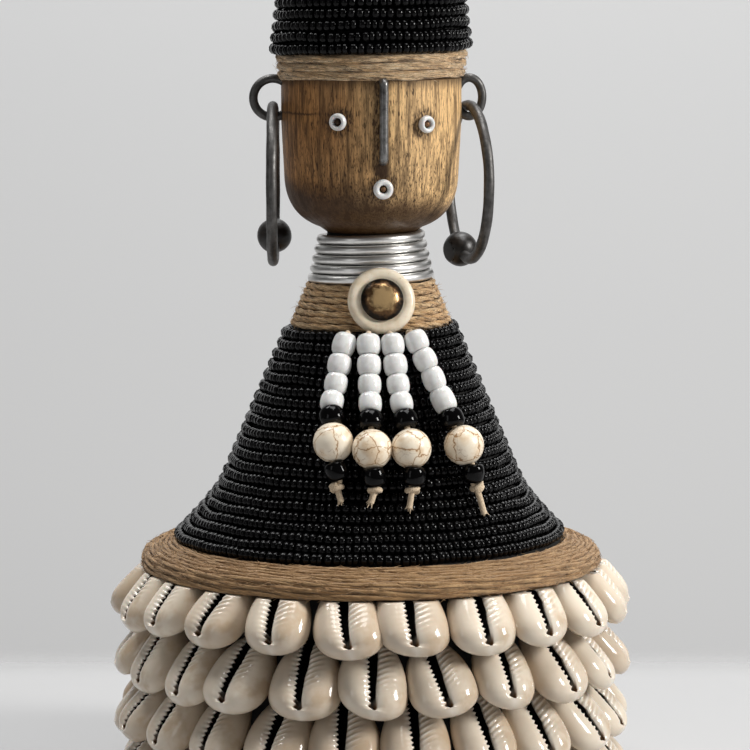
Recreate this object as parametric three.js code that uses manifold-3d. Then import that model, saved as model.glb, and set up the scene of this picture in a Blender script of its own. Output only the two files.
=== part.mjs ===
// Namji doll: a turned wooden figure dressed in wound strings of beads, twine and wire, with a
// skirt of cowrie shells, hoop earrings and four hanging strands of beads.
// Millimetres, +Z up. The origin is the middle of the base and the face looks along -Y.
// Left and right are as seen from the front.

import * as THREE from 'three';
import { mergeVertices } from 'three/addons/utils/BufferGeometryUtils.js';
import Module from 'manifold-3d';

const wasm = await Module();
wasm.setup();

// Clearances
const SEAT_GAP = 0.3; // between pieces that rest on each other
const WINDING_GAP = 0.48; // between the turns of a winding

// Skirt of cowrie shells, sewn in rows to a cloth sleeve
const CLOTH_THICKNESS = 0.8;
const CLOTH_RAISE = 1.2; // the cloth's lower edge above the base
const SHELL_ROWS = 4;
const SHELLS_PER_ROW = 22;
const ROW_PITCH = 15.2;
const SHELL_LENGTH = 24;
const SHELL_TOUCH = 0.2; // how far the shells of a row press into each other
const SHELL_FRONT = 4.8; // from a shell's middle plane to its lips
const SHELL_BACK = 3.2; // from the middle plane to the sliced back
const SHELL_TIP = 0.3; // depth of a shell's two ends, as a share of its back
const SHELL_TILT = THREE.MathUtils.degToRad(40);
const APERTURE_DEPTH = 2.2;
const APERTURE_SHIFT = 1; // the slit lies a little left of a shell's middle
const LEFT_LIP = 0.45; // crests of the two lips, as shares of half the width
const RIGHT_LIP = 0.42;
const WIDEST_RING = 0.2; // heights of a shell's sections, as shares of half its length
const SHELL_RINGS = [-0.75, -0.3, WIDEST_RING, 0.7];
const ROW_PHASES = [0.2, -0.4]; // how far the rows are turned by turns, counted in shells
const SHELL_SETBACK = 1.3; // from the cloth to the upper end of a shell
const SHELL_CLEARANCE = 2.2; // from the base to the lowest shells
const TOP_ROW_DROP = 4; // from the brim's underside to the middle of the top row

// Brim of wound twine on a wooden flange
const BRIM_RADIUS = 60.9;
const BRIM_OVERHANG = 10.9; // from the skirt's core out to the brim's edge
const BRIM_WIDTH = 7.4;
const BRIM_RISE = 5.2;
const BRIM_EDGE = 3.4; // height of the rounded edge
const BRIM_FALL = 0.6; // how far the rounded edge's corner lies below its start
const BRIM_TWINE_RADIUS = 0.75;

// Body under a wound string of small beads; radii are to the middle of the string
const BEAD_STRING_RADIUS = 1.25;
const BODY_HEIGHT = 54.2;
const BODY_TOP_RADIUS = 22;
const FLARE_RADIUS = 37.95;
const FLARE_HEIGHT = 16.2; // the straight side flares out below this height over the hem
const FLARE_LEAD = 6.7;
const HEM_STEP = 2; // from the brim's inner turn in to the lowest string of beads
const HEM_LIFT = 2.3;

// Shoulder under twine, and neck under a coil of wire
const SHOULDER_TWINE_RADIUS = 0.45;
const SHOULDER_HEIGHT = 10.4;
const SHOULDER_TOP_RADIUS = 16.1;
const SHOULDER_STEP = 1.9; // from the top string of beads in to the lowest twine
const NECK_WIRE_RADIUS = 1.04;
const NECK_COIL_HEIGHT = 10;
const NECK_TOP_RADIUS = 13.1;
const NECK_BASE_RADIUS = 15.7;

// Head
const HEAD_RADIUS = 23.6;
const JAW_RADIUS = 22.8;
const CHIN_RADIUS = 13.6;
const HEAD_HEIGHT = 38.8; // from the chin to the headband
const CHEEK_DROP = 10.8; // heights on the face are measured down from the headband
const JAW_DROP = 26;
const CHIN_ROUND = 9.8;
const CHIN_LIP = 1.4; // height of the straight edge under the chin
const CORNER_DRAW = 0.5; // how far a rounded corner is drawn in from the upright
const EYE_DROP = 10.5;
const RIGHT_EYE_FALL = 0.7; // the right eye sits a little lower
const EYE_ANGLE = THREE.MathUtils.degToRad(27.8);
const MOUTH_DROP = 27.7;
const RING_BEAD_RADIUS = 2.2;
const RING_BEAD_HOLE = 1;
const RING_BEAD_HEIGHT = 2;
const MOUTH_SCALE = 1.14;
const NAIL_RADIUS = 0.7;
const NAIL_DEPTH = 5;
const NOSE_WIRE_RADIUS = 1.1;
const NOSE_TOP_DROP = 0.8;
const NOSE_LENGTH = 18.55;
const NOSE_LEG = 5;
const NOSE_BEND = 2; // radius of the bends

// Headband of twine and tall headdress of wound beads
const HEADBAND_TWINE_RADIUS = 0.9;
const HEADBAND_RADIUS = 24.2;
const HEADBAND_HEIGHT = 4.6;
const HEADDRESS_RADIUS = 25.15;
const HEADDRESS_TOP_RADIUS = 22;
const HEADDRESS_HEIGHT = 35.4;
const HEADDRESS_ROUND = 6;
const CROWN_HOLE = 2; // radius of the innermost turn on the crown
const CROWN_RISE = 0.8;

// Ears and hoop earrings, all of iron wire
const EAR_WIRE_RADIUS = 1.15;
const EAR_RADIUS = 4.75;
const EAR_STANDOFF = 2.3; // from the side of the head to the middle of the loop
const EAR_DROP = 5.4;
const EAR_REACH = THREE.MathUtils.degToRad(150); // half the arc, with both ends in the wood
const HOOP_WIRE_RADIUS = 1.4;
const HOOP_RADIUS = 20.2;
const BALL_RADIUS = 4.6;
const EARRINGS = [
  { side: 'left', sign: -1, turn: THREE.MathUtils.degToRad(8), ball: THREE.MathUtils.degToRad(46) },
  { side: 'right', sign: 1, turn: THREE.MathUtils.degToRad(6), ball: THREE.MathUtils.degToRad(25) },
];

// Pendant on the shoulder: a bone ring with a domed stud
const PENDANT_RADIUS = 8.8;
const PENDANT_THICKNESS = 2.2;
const PENDANT_BACK_ROUND = 0.6; // how far its edge is drawn in at the back
const PENDANT_FRONT_ROUND = 1; // and at the front
const PENDANT_LIFT = 8.7; // above the top string of body beads
const PENDANT_TILT = THREE.MathUtils.degToRad(17);
const STUD_RADIUS = 5.65;
const STUD_RISE = 2.6;
const STUD_SHANK_RADIUS = 1.2;

// Strands of beads that hang over the front of the body
const CORD_RADIUS = 0.8;
const CORD_LEAD = 1.6; // bare cord above the first bead
const KNOT_RADIUS = 2;
const WHITE_RADIUS = 2.85;
const WHITE_LENGTH = 4.8;
const UPPER_BLACK_RADIUS = 3.1;
const UPPER_BLACK_LENGTH = 4.4;
const HOWLITE_RADIUS = 5.15;
const LOWER_BLACK_RADIUS = 2.9;
const LOWER_BLACK_LENGTH = 4.6;
const WHITES_PER_STRAND = 4;
const STRAND_RISE = 0.25; // how steeply a strand climbs from the small beads to the large one
const STRAND_SPARE = 0.5; // sideways room between neighbouring strands
// Sideways places of each strand, counted in beads, at its top and at its large bead, and the
// length of its tail under the knot
const STRANDS = [
  { name: 'strand_1', top: -1.62, low: -1.47, tail: 1.5 },
  { name: 'strand_2', top: -0.68, low: -0.48, tail: 1.6 },
  { name: 'strand_3', top: 0.27, low: 0.51, tail: 2.5 },
  { name: 'strand_4', top: 1.2, low: 1.98, tail: 5.2 },
];

// Facets
const WOOD_SIDES = 24;
const BODY_STEPS = 16;
const HEAD_STEPS = 12;
const NECK_STEPS = 12;
const BRIM_STEPS = 20;
const BEAD_SIDES = 8;
const WIRE_SIDES = 6;
const WINDING_SIDES = 4;
const RING_SIDES = 12;
const BALL_SIDES = 10;
const BALL_RINGS = 7;
const PENDANT_SIDES = 16;
const NOSE_STEPS = 16;
const EAR_STEPS = 12;
const HOOP_STEPS = 22;
const KNOT_RINGS = 4;
const ROUND_BEAD_RINGS = 5;
const HEAD_SAMPLES = 200; // points that the head's radius is read from
const ROUND_PARTS = 4;
const TURN_APART = 0.75; // points of a winding this part of a turn apart are measured

const FINISHES = {
  wood: { color: 0x8a5a34, roughness: 0.55, metalness: 0 },
  twine: { color: 0xb08a55, roughness: 0.9, metalness: 0 },
  blackBead: { color: 0x0b0b0d, roughness: 0.15, metalness: 0 },
  cloth: { color: 0x141210, roughness: 0.95, metalness: 0 },
  shell: { color: 0xd9c9ae, roughness: 0.25, metalness: 0 },
  iron: { color: 0x3a3531, roughness: 0.55, metalness: 0.8 },
  aluminium: { color: 0xc8c8c6, roughness: 0.35, metalness: 1 },
  whiteBead: { color: 0xefece4, roughness: 0.2, metalness: 0 },
  darkWood: { color: 0x2a211c, roughness: 0.6, metalness: 0 },
  bone: { color: 0xe3d9c0, roughness: 0.45, metalness: 0 },
  bronze: { color: 0x8a6a35, roughness: 0.4, metalness: 0.9 },
  howlite: { color: 0xe6dcc4, roughness: 0.4, metalness: 0 },
  cord: { color: 0xd8ccb0, roughness: 0.9, metalness: 0 },
};

const UP = new THREE.Vector3(0, 0, 1);

// Geometry helpers

// Merges a geometry into one indexed closed skin whose faces point out.
function closed(geometry) {
  const bare = geometry.clone();
  bare.deleteAttribute('normal');
  bare.deleteAttribute('uv');
  const merged = mergeVertices(bare, 1e-4);
  const position = merged.attributes.position;
  const corners = [];
  let volume = 0;
  const a = new THREE.Vector3();
  const b = new THREE.Vector3();
  const c = new THREE.Vector3();
  for (let i = 0; i < merged.index.count; i += 3) {
    const [p, q, r] = [0, 1, 2].map((k) => merged.index.getX(i + k));
    if (p === q || q === r || r === p) continue;
    corners.push(p, q, r);
    a.fromBufferAttribute(position, p);
    b.fromBufferAttribute(position, q);
    c.fromBufferAttribute(position, r);
    volume += a.dot(b.cross(c));
  }
  if (volume < 0) corners.reverse();
  merged.setIndex(corners);
  return merged;
}

function solid(geometry) {
  const skin = closed(geometry);
  return new wasm.Manifold(new wasm.Mesh({
    numProp: 3,
    vertProperties: new Float32Array(skin.attributes.position.array),
    triVerts: new Uint32Array(skin.index.array),
  }));
}

function geometryOf(body) {
  const mesh = body.getMesh();
  const geometry = new THREE.BufferGeometry();
  geometry.setAttribute('position', new THREE.BufferAttribute(mesh.vertProperties, 3));
  geometry.setIndex(new THREE.BufferAttribute(mesh.triVerts, 1));
  return geometry;
}

// Turns a profile of [radius, height] points round the Z axis.
function turned(profile, sides) {
  const points = profile.map(([radius, height]) => new THREE.Vector2(radius, height));
  return closed(new THREE.LatheGeometry(points, sides).rotateX(Math.PI / 2));
}

// The same for a ring, whose profile closes on itself.
function turnedRing(profile, sides) {
  return turned([...profile, profile[0]], sides);
}

function tubeAlong(path, radius, sides, steps) {
  const corners = Array.from({ length: sides }, (_, k) => {
    const angle = 2 * Math.PI * k / sides;
    return new THREE.Vector2(radius * Math.cos(angle), radius * Math.sin(angle));
  });
  const section = new THREE.Shape(corners);
  return closed(new THREE.ExtrudeGeometry(section, { steps, bevelEnabled: false, extrudePath: path }));
}

// The place of a piece whose own +Z points along a direction.
function frameAt(position, direction) {
  const turn = new THREE.Quaternion().setFromUnitVectors(UP, direction.clone().normalize());
  return new THREE.Matrix4().compose(position, turn, new THREE.Vector3(1, 1, 1));
}

// A point in the round, from an angle off the front, a radius and a height.
function around(angle, radius, height) {
  return new THREE.Vector3(radius * Math.sin(angle), -radius * Math.cos(angle), height);
}

function addPiece(group, name, geometry, finish, frame = new THREE.Matrix4()) {
  const mesh = new THREE.Mesh(geometry, new THREE.MeshStandardMaterial(FINISHES[finish]));
  mesh.geometry.computeVertexNormals();
  mesh.name = name;
  mesh.applyMatrix4(frame);
  group.add(mesh);
  return mesh;
}

// Lines of the windings, as curves of (radius, height) that run from the top down and outwards

function straight(from, to) {
  return new THREE.LineCurve(new THREE.Vector2(...from), new THREE.Vector2(...to));
}

function rounded(from, corner, to) {
  const points = [from, corner, to].map((point) => new THREE.Vector2(...point));
  return new THREE.QuadraticBezierCurve(...points);
}

function joined(...curves) {
  const line = new THREE.CurvePath();
  curves.forEach((curve) => line.add(curve));
  return line;
}

const shellRun = SHELL_LENGTH / 2 * Math.sin(SHELL_TILT);
const shellDrop = SHELL_LENGTH / 2 * Math.cos(SHELL_TILT);
const coreRadius = BRIM_RADIUS - BRIM_OVERHANG;
const clothInner = coreRadius + SEAT_GAP;
const clothOuter = clothInner + CLOTH_THICKNESS;
const rowRadius = clothOuter + SHELL_SETBACK + shellRun;
const widestRadius = rowRadius - SHELL_BACK * Math.cos(SHELL_TILT) - WIDEST_RING * shellRun;
const widestHalf = widestRadius * Math.tan(Math.PI / SHELLS_PER_ROW) + SHELL_TOUCH;
const lowestRow = SHELL_CLEARANCE + shellDrop;
const skirtTop = lowestRow + (SHELL_ROWS - 1) * ROW_PITCH + TOP_ROW_DROP;

const brimRim = BRIM_RADIUS - BRIM_TWINE_RADIUS;
const brimInner = brimRim - BRIM_WIDTH;
const brimFoot = skirtTop + BRIM_TWINE_RADIUS;
const brimShoulder = [brimRim - BRIM_EDGE / 2, brimFoot + BRIM_EDGE];
const brimTop = brimFoot + BRIM_RISE;
const BRIM_LINE = joined(
  straight([brimInner, brimTop], brimShoulder),
  rounded(brimShoulder, [brimRim, brimFoot + BRIM_EDGE - BRIM_FALL], [brimRim, brimFoot]),
);

const hem = [brimInner - HEM_STEP, brimTop + HEM_LIFT];
const bodyTop = [BODY_TOP_RADIUS, hem[1] + BODY_HEIGHT];
const flare = [FLARE_RADIUS, hem[1] + FLARE_HEIGHT];
const sideSlope = (flare[0] - bodyTop[0]) / (bodyTop[1] - flare[1]);
const flareCorner = [flare[0] + sideSlope * FLARE_LEAD, flare[1] - FLARE_LEAD];
const BODY_LINE = joined(straight(bodyTop, flare), rounded(flare, flareCorner, hem));

const shoulderFoot = [
  BODY_TOP_RADIUS - SHOULDER_STEP,
  bodyTop[1] + BEAD_STRING_RADIUS + SHOULDER_TWINE_RADIUS + SEAT_GAP,
];
const shoulderTop = [SHOULDER_TOP_RADIUS, shoulderFoot[1] + SHOULDER_HEIGHT];
const SHOULDER_LINE = joined(straight(shoulderTop, shoulderFoot));

const neckFoot = shoulderTop[1] + SHOULDER_TWINE_RADIUS + NECK_WIRE_RADIUS + SEAT_GAP;
const neckTop = neckFoot + NECK_COIL_HEIGHT;
const NECK_LINE = joined(straight([NECK_TOP_RADIUS, neckTop], [NECK_BASE_RADIUS, neckFoot]));

const chin = neckTop + NECK_WIRE_RADIUS + SEAT_GAP;
const chinTop = chin + CHIN_LIP;
const headTop = chinTop + HEAD_HEIGHT;
const jaw = headTop - JAW_DROP;
const HEAD_LINE = joined(
  straight([HEAD_RADIUS, headTop], [HEAD_RADIUS, headTop - CHEEK_DROP]),
  straight([HEAD_RADIUS, headTop - CHEEK_DROP], [JAW_RADIUS, jaw]),
  rounded([JAW_RADIUS, jaw], [JAW_RADIUS - CORNER_DRAW, jaw - CHIN_ROUND], [CHIN_RADIUS, chinTop]),
);

const bandFoot = headTop + HEADBAND_TWINE_RADIUS + SEAT_GAP;
const bandTop = bandFoot + HEADBAND_HEIGHT;
const HEADBAND_LINE = joined(straight([HEADBAND_RADIUS, bandTop], [HEADBAND_RADIUS, bandFoot]));

const crownFoot = bandTop + HEADBAND_TWINE_RADIUS + BEAD_STRING_RADIUS + SEAT_GAP;
const crownTop = crownFoot + HEADDRESS_HEIGHT;
const crownEdge = [HEADDRESS_TOP_RADIUS - HEADDRESS_ROUND, crownTop - CROWN_RISE];
const crownSide = [HEADDRESS_TOP_RADIUS, crownTop - CROWN_RISE - HEADDRESS_ROUND];
const HEADDRESS_LINE = joined(
  straight([CROWN_HOLE, crownTop], crownEdge),
  rounded(crownEdge, [HEADDRESS_TOP_RADIUS - CORNER_DRAW, crownTop - CROWN_RISE], crownSide),
  straight(crownSide, [HEADDRESS_RADIUS, crownFoot]),
);

// The point, tangent and outward normal of a line at a share of its length.
function onLine(line, share) {
  const point = line.getPointAt(share);
  const along = line.getTangentAt(share);
  return { point, along, out: new THREE.Vector2(-along.y, along.x) };
}

// How far the corners of a turn of straight steps stand outside its mean circle.
function chordSlack(radius, steps) {
  const middle = Math.cos(Math.PI / steps);
  return radius * (1 - middle) / (1 + middle);
}

// Points of the wooden bed under a winding, from the bottom up.
function bedUnder(line, tubeRadius, steps) {
  const points = [];
  line.curves.forEach((curve, k) => {
    const parts = curve.isLineCurve ? 1 : ROUND_PARTS;
    for (let i = k === 0 ? 0 : 1; i <= parts; i += 1) {
      const point = curve.getPoint(i / parts);
      const along = curve.getTangent(i / parts);
      const depth = tubeRadius + SEAT_GAP + chordSlack(point.x, steps);
      points.push([point.x + along.y * depth, point.y - along.x * depth]);
    }
  });
  return points.reverse();
}

// A winding is one unbroken tube of square section laid in a spiral along a line.
// Its least gap to itself is measured between turns on the tube's middle points.
function winding(name, line, tubeRadius, steps, startAngle) {
  const loops = line.getLength() / (2 * tubeRadius + WINDING_GAP);
  const rings = Math.floor(loops * steps);
  const sides = WINDING_SIDES;
  const middles = [];
  const positions = [];
  for (let ring = 0; ring <= rings; ring += 1) {
    const angle = startAngle - 2 * Math.PI * ring / steps;
    const { point, along, out } = onLine(line, Math.min(1, ring / (loops * steps)));
    const radius = point.x + chordSlack(point.x, steps);
    middles.push(around(angle, radius, point.y));
    for (let side = 0; side < sides; side += 1) {
      const turn = 2 * Math.PI * side / sides;
      const rise = tubeRadius * Math.sin(turn);
      const run = tubeRadius * Math.cos(turn);
      const reach = radius + along.x * run + out.x * rise;
      const corner = around(angle, reach, point.y + along.y * run + out.y * rise);
      positions.push(corner.x, corner.y, corner.z);
    }
  }
  const index = [];
  for (let ring = 0; ring < rings; ring += 1) {
    for (let side = 0; side < sides; side += 1) {
      const a = ring * sides + side;
      const b = ring * sides + (side + 1) % sides;
      index.push(a, b, b + sides, a, b + sides, a + sides);
    }
  }
  const last = rings * sides;
  index.push(0, 2, 1, 0, 3, 2, last, last + 1, last + 2, last, last + 2, last + 3);
  let least = Infinity;
  middles.forEach((middle, ring) => {
    for (let other = ring + Math.ceil(TURN_APART * steps); other <= rings; other += 1) {
      least = Math.min(least, middle.distanceTo(middles[other]) - 2 * tubeRadius);
    }
  });
  console.log(`${name}: ${loops.toFixed(1)} turns, least gap to itself ${least.toFixed(2)} mm`);
  const geometry = new THREE.BufferGeometry();
  geometry.setAttribute('position', new THREE.Float32BufferAttribute(positions, 3));
  geometry.setIndex(index);
  return closed(geometry);
}

// Radius of the bare head at a height.
function headRadius(height) {
  const points = HEAD_LINE.getSpacedPoints(HEAD_SAMPLES);
  const below = points.findIndex((point) => point.y <= height);
  return points[below].x;
}

// Face pieces

const eyeHeight = headTop - EYE_DROP;
const mouthHeight = headTop - MOUTH_DROP;
const FACE_BEADS = [
  { name: 'left_eye', angle: -EYE_ANGLE, height: eyeHeight, scale: 1 },
  { name: 'right_eye', angle: EYE_ANGLE, height: eyeHeight - RIGHT_EYE_FALL, scale: 1 },
  { name: 'mouth', angle: 0, height: mouthHeight, scale: MOUTH_SCALE },
];

function faceFrame({ angle, height }) {
  const radius = headRadius(height) + SEAT_GAP;
  return frameAt(around(angle, radius, height), around(angle, 1, 0));
}

function ringBead(scale) {
  const outer = RING_BEAD_RADIUS * scale;
  const shoulder = (RING_BEAD_HOLE + outer) / 2;
  return turnedRing([
    [RING_BEAD_HOLE, 0],
    [outer - RING_BEAD_HEIGHT * 0.2, 0],
    [outer, RING_BEAD_HEIGHT * 0.4],
    [shoulder, RING_BEAD_HEIGHT],
    [RING_BEAD_HOLE, RING_BEAD_HEIGHT * 0.8],
  ], RING_SIDES);
}

// A nail from its tip in the wood to its rounded end inside the ring bead, grown by a clearance.
function nail(clearance) {
  const radius = NAIL_RADIUS + clearance;
  return turned([
    [0, -NAIL_DEPTH - clearance],
    [radius, -NAIL_DEPTH - clearance],
    [radius, RING_BEAD_HEIGHT * 0.7],
    [0, RING_BEAD_HEIGHT * 0.9],
  ], BEAD_SIDES);
}

// The nose is a staple: a bar down the face with both ends bent into the wood.
function noseWire(clearance) {
  const front = HEAD_RADIUS + SEAT_GAP + NOSE_WIRE_RADIUS;
  const tip = front - NOSE_WIRE_RADIUS - NOSE_LEG - clearance;
  const top = headTop - NOSE_TOP_DROP - NOSE_WIRE_RADIUS;
  const bottom = top - NOSE_LENGTH;
  const [tipTop, bendTop, cornerTop, barTop, barLow, cornerLow, bendLow, tipLow] = [
    [tip, top],
    [front - NOSE_BEND, top],
    [front, top],
    [front, top - NOSE_BEND],
    [front, bottom + NOSE_BEND],
    [front, bottom],
    [front - NOSE_BEND, bottom],
    [tip, bottom],
  ].map(([radius, height]) => around(0, radius, height));
  const path = new THREE.CurvePath();
  path.add(new THREE.LineCurve3(tipTop, bendTop));
  path.add(new THREE.QuadraticBezierCurve3(bendTop, cornerTop, barTop));
  path.add(new THREE.LineCurve3(barTop, barLow));
  path.add(new THREE.QuadraticBezierCurve3(barLow, cornerLow, bendLow));
  path.add(new THREE.LineCurve3(bendLow, tipLow));
  return tubeAlong(path, NOSE_WIRE_RADIUS + clearance, WIRE_SIDES, NOSE_STEPS);
}

// Ears and earrings

const earCentre = HEAD_RADIUS + EAR_STANDOFF;
const earHeight = headTop - EAR_DROP;

// An ear is an open loop of wire that stands out of the side of the head.
function earWire(sign, clearance) {
  const reach = EAR_REACH + clearance / EAR_RADIUS;
  const points = [];
  for (let i = 0; i <= EAR_STEPS; i += 1) {
    const angle = reach * (2 * i / EAR_STEPS - 1);
    const out = earCentre + EAR_RADIUS * Math.cos(angle);
    points.push(new THREE.Vector3(sign * out, 0, earHeight + EAR_RADIUS * Math.sin(angle)));
  }
  return tubeAlong(new THREE.CatmullRomCurve3(points), EAR_WIRE_RADIUS + clearance, WIRE_SIDES, EAR_STEPS);
}

const hoopCentre = EAR_WIRE_RADIUS + HOOP_WIRE_RADIUS + SEAT_GAP - HOOP_RADIUS;

// A hoop hangs on the lowest point of its ear; its own Z axis is the axis that it swings about.
function hoop(tubeRadius) {
  const ring = new THREE.TorusGeometry(HOOP_RADIUS, tubeRadius, WIRE_SIDES, HOOP_STEPS);
  return closed(ring.translate(0, hoopCentre, 0));
}

// The ball is threaded on the hoop behind its lowest point.
function hoopBall(angle) {
  const place = new THREE.Vector2(Math.sin(angle), -Math.cos(angle)).multiplyScalar(HOOP_RADIUS);
  const ball = new THREE.SphereGeometry(BALL_RADIUS, BALL_SIDES, BALL_RINGS);
  ball.translate(place.x, hoopCentre + place.y, 0);
  return geometryOf(solid(ball).subtract(solid(hoop(HOOP_WIRE_RADIUS + SEAT_GAP))));
}

// Wooden figure: skirt core, flange, body, neck, head and the core of the headdress in one piece
function woodenFigure() {
  const brimBed = bedUnder(BRIM_LINE, BRIM_TWINE_RADIUS, BRIM_STEPS);
  const flangeEdge = brimBed[0][0];
  const headBed = HEAD_LINE.getPoints(ROUND_PARTS + 1).map((point) => [point.x, point.y]).reverse();
  const neckBed = bedUnder(NECK_LINE, NECK_WIRE_RADIUS, NECK_STEPS);
  const profile = [
    [0, 0],
    [coreRadius, 0],
    [coreRadius, skirtTop],
    [flangeEdge, skirtTop],
    ...brimBed,
    ...bedUnder(BODY_LINE, BEAD_STRING_RADIUS, BODY_STEPS),
    ...bedUnder(SHOULDER_LINE, SHOULDER_TWINE_RADIUS, NECK_STEPS),
    ...neckBed,
    [neckBed[1][0], chin],
    ...headBed,
    ...bedUnder(HEADBAND_LINE, HEADBAND_TWINE_RADIUS, HEAD_STEPS),
    ...bedUnder(HEADDRESS_LINE, BEAD_STRING_RADIUS, HEAD_STEPS),
  ];
  profile.push([0, profile.at(-1)[1]]);
  let figure = solid(turned(profile, WOOD_SIDES));
  FACE_BEADS.forEach((bead) => {
    figure = figure.subtract(solid(nail(SEAT_GAP).applyMatrix4(faceFrame(bead))));
  });
  figure = figure.subtract(solid(noseWire(SEAT_GAP)));
  EARRINGS.forEach(({ sign }) => {
    figure = figure.subtract(solid(earWire(sign, SEAT_GAP)));
  });
  return geometryOf(figure);
}

// Skirt

// A cowrie with its toothed slit to the front and its back sliced flat. Its own Z runs along
// the shell and its own -Y faces out.
function cowrie() {
  const half = widestHalf / Math.sqrt(1 - WIDEST_RING * WIDEST_RING);
  const section = [
    [-half, SHELL_BACK],
    [-LEFT_LIP * half, -SHELL_FRONT],
    [-APERTURE_SHIFT, APERTURE_DEPTH - SHELL_FRONT],
    [RIGHT_LIP * half, -SHELL_FRONT],
    [half, SHELL_BACK],
  ];
  const tip = SHELL_TIP * SHELL_BACK;
  const positions = [0, tip, -SHELL_LENGTH / 2];
  SHELL_RINGS.forEach((share) => {
    const girth = Math.sqrt(1 - share * share);
    section.forEach(([x, y]) => {
      const depth = y < 0 ? y * girth : y;
      positions.push(x * girth, depth, share * SHELL_LENGTH / 2);
    });
  });
  positions.push(0, tip, SHELL_LENGTH / 2);
  const count = section.length;
  const end = SHELL_RINGS.length * count + 1;
  const index = [];
  for (let k = 0; k < count; k += 1) {
    const next = (k + 1) % count;
    index.push(0, 1 + next, 1 + k);
    for (let ring = 0; ring < SHELL_RINGS.length - 1; ring += 1) {
      const a = 1 + ring * count + k;
      const b = 1 + ring * count + next;
      index.push(a, b, b + count, a, b + count, a + count);
    }
    index.push(end, end - count + k, end - count + next);
  }
  const geometry = new THREE.BufferGeometry();
  geometry.setAttribute('position', new THREE.Float32BufferAttribute(positions, 3));
  geometry.setIndex(index);
  return closed(geometry);
}

// One row: shells that touch side by side, tilted so that their lower ends stand out.
function cowrieRow(row) {
  const height = lowestRow + (SHELL_ROWS - 1 - row) * ROW_PITCH;
  const phase = ROW_PHASES[row % ROW_PHASES.length];
  const pitch = 2 * Math.PI / SHELLS_PER_ROW;
  const shells = Array.from({ length: SHELLS_PER_ROW }, (_, k) => {
    const shell = cowrie().rotateX(-SHELL_TILT).translate(0, -rowRadius, height);
    return solid(shell.rotateZ((k + phase) * pitch));
  });
  let body = wasm.Manifold.union(shells);
  if (row === 0) {
    const brim = new THREE.CylinderGeometry(2 * rowRadius, 2 * rowRadius, SHELL_LENGTH, 8);
    brim.rotateX(Math.PI / 2).translate(0, 0, skirtTop - SEAT_GAP + SHELL_LENGTH / 2);
    body = body.subtract(solid(brim));
  }
  return geometryOf(body);
}

function skirtCloth() {
  return turnedRing([
    [clothInner, CLOTH_RAISE],
    [clothOuter, CLOTH_RAISE],
    [clothOuter, skirtTop - SEAT_GAP],
    [clothInner, skirtTop - SEAT_GAP],
  ], WOOD_SIDES);
}

// Pendant

// The pendant leans back from the lowest turn of shoulder twine towards the neck.
function pendantFrame() {
  const height = bodyTop[1] + PENDANT_LIFT;
  const slack = chordSlack(shoulderFoot[0], NECK_STEPS);
  const foot = shoulderFoot[0] + SHOULDER_TWINE_RADIUS + slack + SEAT_GAP;
  const radius = foot - (height - shoulderFoot[1]) * Math.tan(PENDANT_TILT);
  const outward = around(0, Math.cos(PENDANT_TILT), Math.sin(PENDANT_TILT));
  return frameAt(around(0, radius, height), outward);
}

function pendantRing() {
  const hole = STUD_SHANK_RADIUS + SEAT_GAP;
  return turnedRing([
    [hole, 0],
    [PENDANT_RADIUS - PENDANT_BACK_ROUND, 0],
    [PENDANT_RADIUS, PENDANT_THICKNESS * 0.4],
    [PENDANT_RADIUS - PENDANT_FRONT_ROUND, PENDANT_THICKNESS],
    [hole, PENDANT_THICKNESS],
  ], PENDANT_SIDES);
}

function pendantStud() {
  const seat = PENDANT_THICKNESS + SEAT_GAP;
  return turned([
    [0, 0],
    [STUD_SHANK_RADIUS, 0],
    [STUD_SHANK_RADIUS, seat],
    [STUD_RADIUS, seat],
    [0.93 * STUD_RADIUS, seat + 0.4 * STUD_RISE],
    [0.6 * STUD_RADIUS, seat + 0.82 * STUD_RISE],
    [0, seat + STUD_RISE],
  ], PENDANT_SIDES);
}

// Strands

// A route of straight runs, swept with one step to each run.
class StraightRuns extends THREE.Curve {
  constructor(points) {
    super();
    this.points = points;
  }

  getPointAt(share, target = new THREE.Vector3()) {
    return target.copy(this.points[Math.round(share * (this.points.length - 1))]);
  }

  getTangentAt(share, target = new THREE.Vector3()) {
    const here = Math.round(share * (this.points.length - 1));
    const before = this.points[Math.max(0, here - 1)];
    const after = this.points[Math.min(this.points.length - 1, here + 1)];
    return target.subVectors(after, before).normalize();
  }
}

const strandBore = CORD_RADIUS + SEAT_GAP;
const STRAND_BEADS = [
  ...Array.from({ length: WHITES_PER_STRAND }, (_, k) => (
    { name: `white_bead_${k + 1}`, radius: WHITE_RADIUS, length: WHITE_LENGTH, finish: 'whiteBead' }
  )),
  {
    name: 'upper_black_bead',
    radius: UPPER_BLACK_RADIUS,
    length: UPPER_BLACK_LENGTH,
    finish: 'blackBead',
  },
  {
    name: 'howlite_bead',
    radius: HOWLITE_RADIUS,
    length: 2 * HOWLITE_RADIUS,
    finish: 'howlite',
    round: true,
  },
  {
    name: 'lower_black_bead',
    radius: LOWER_BLACK_RADIUS,
    length: LOWER_BLACK_LENGTH,
    finish: 'blackBead',
  },
];

function barrelBead({ radius, length }) {
  return turnedRing([
    [strandBore, -length / 2],
    [radius, -0.2 * length],
    [radius, 0.2 * length],
    [strandBore, length / 2],
  ], BEAD_SIDES);
}

function roundBead({ radius }) {
  const start = Math.asin(strandBore / radius);
  const profile = [];
  for (let i = 0; i <= ROUND_BEAD_RINGS; i += 1) {
    const angle = start + (Math.PI - 2 * start) * i / ROUND_BEAD_RINGS;
    profile.push([radius * Math.sin(angle), -radius * Math.cos(angle)]);
  }
  return turnedRing(profile, BALL_SIDES);
}

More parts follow.
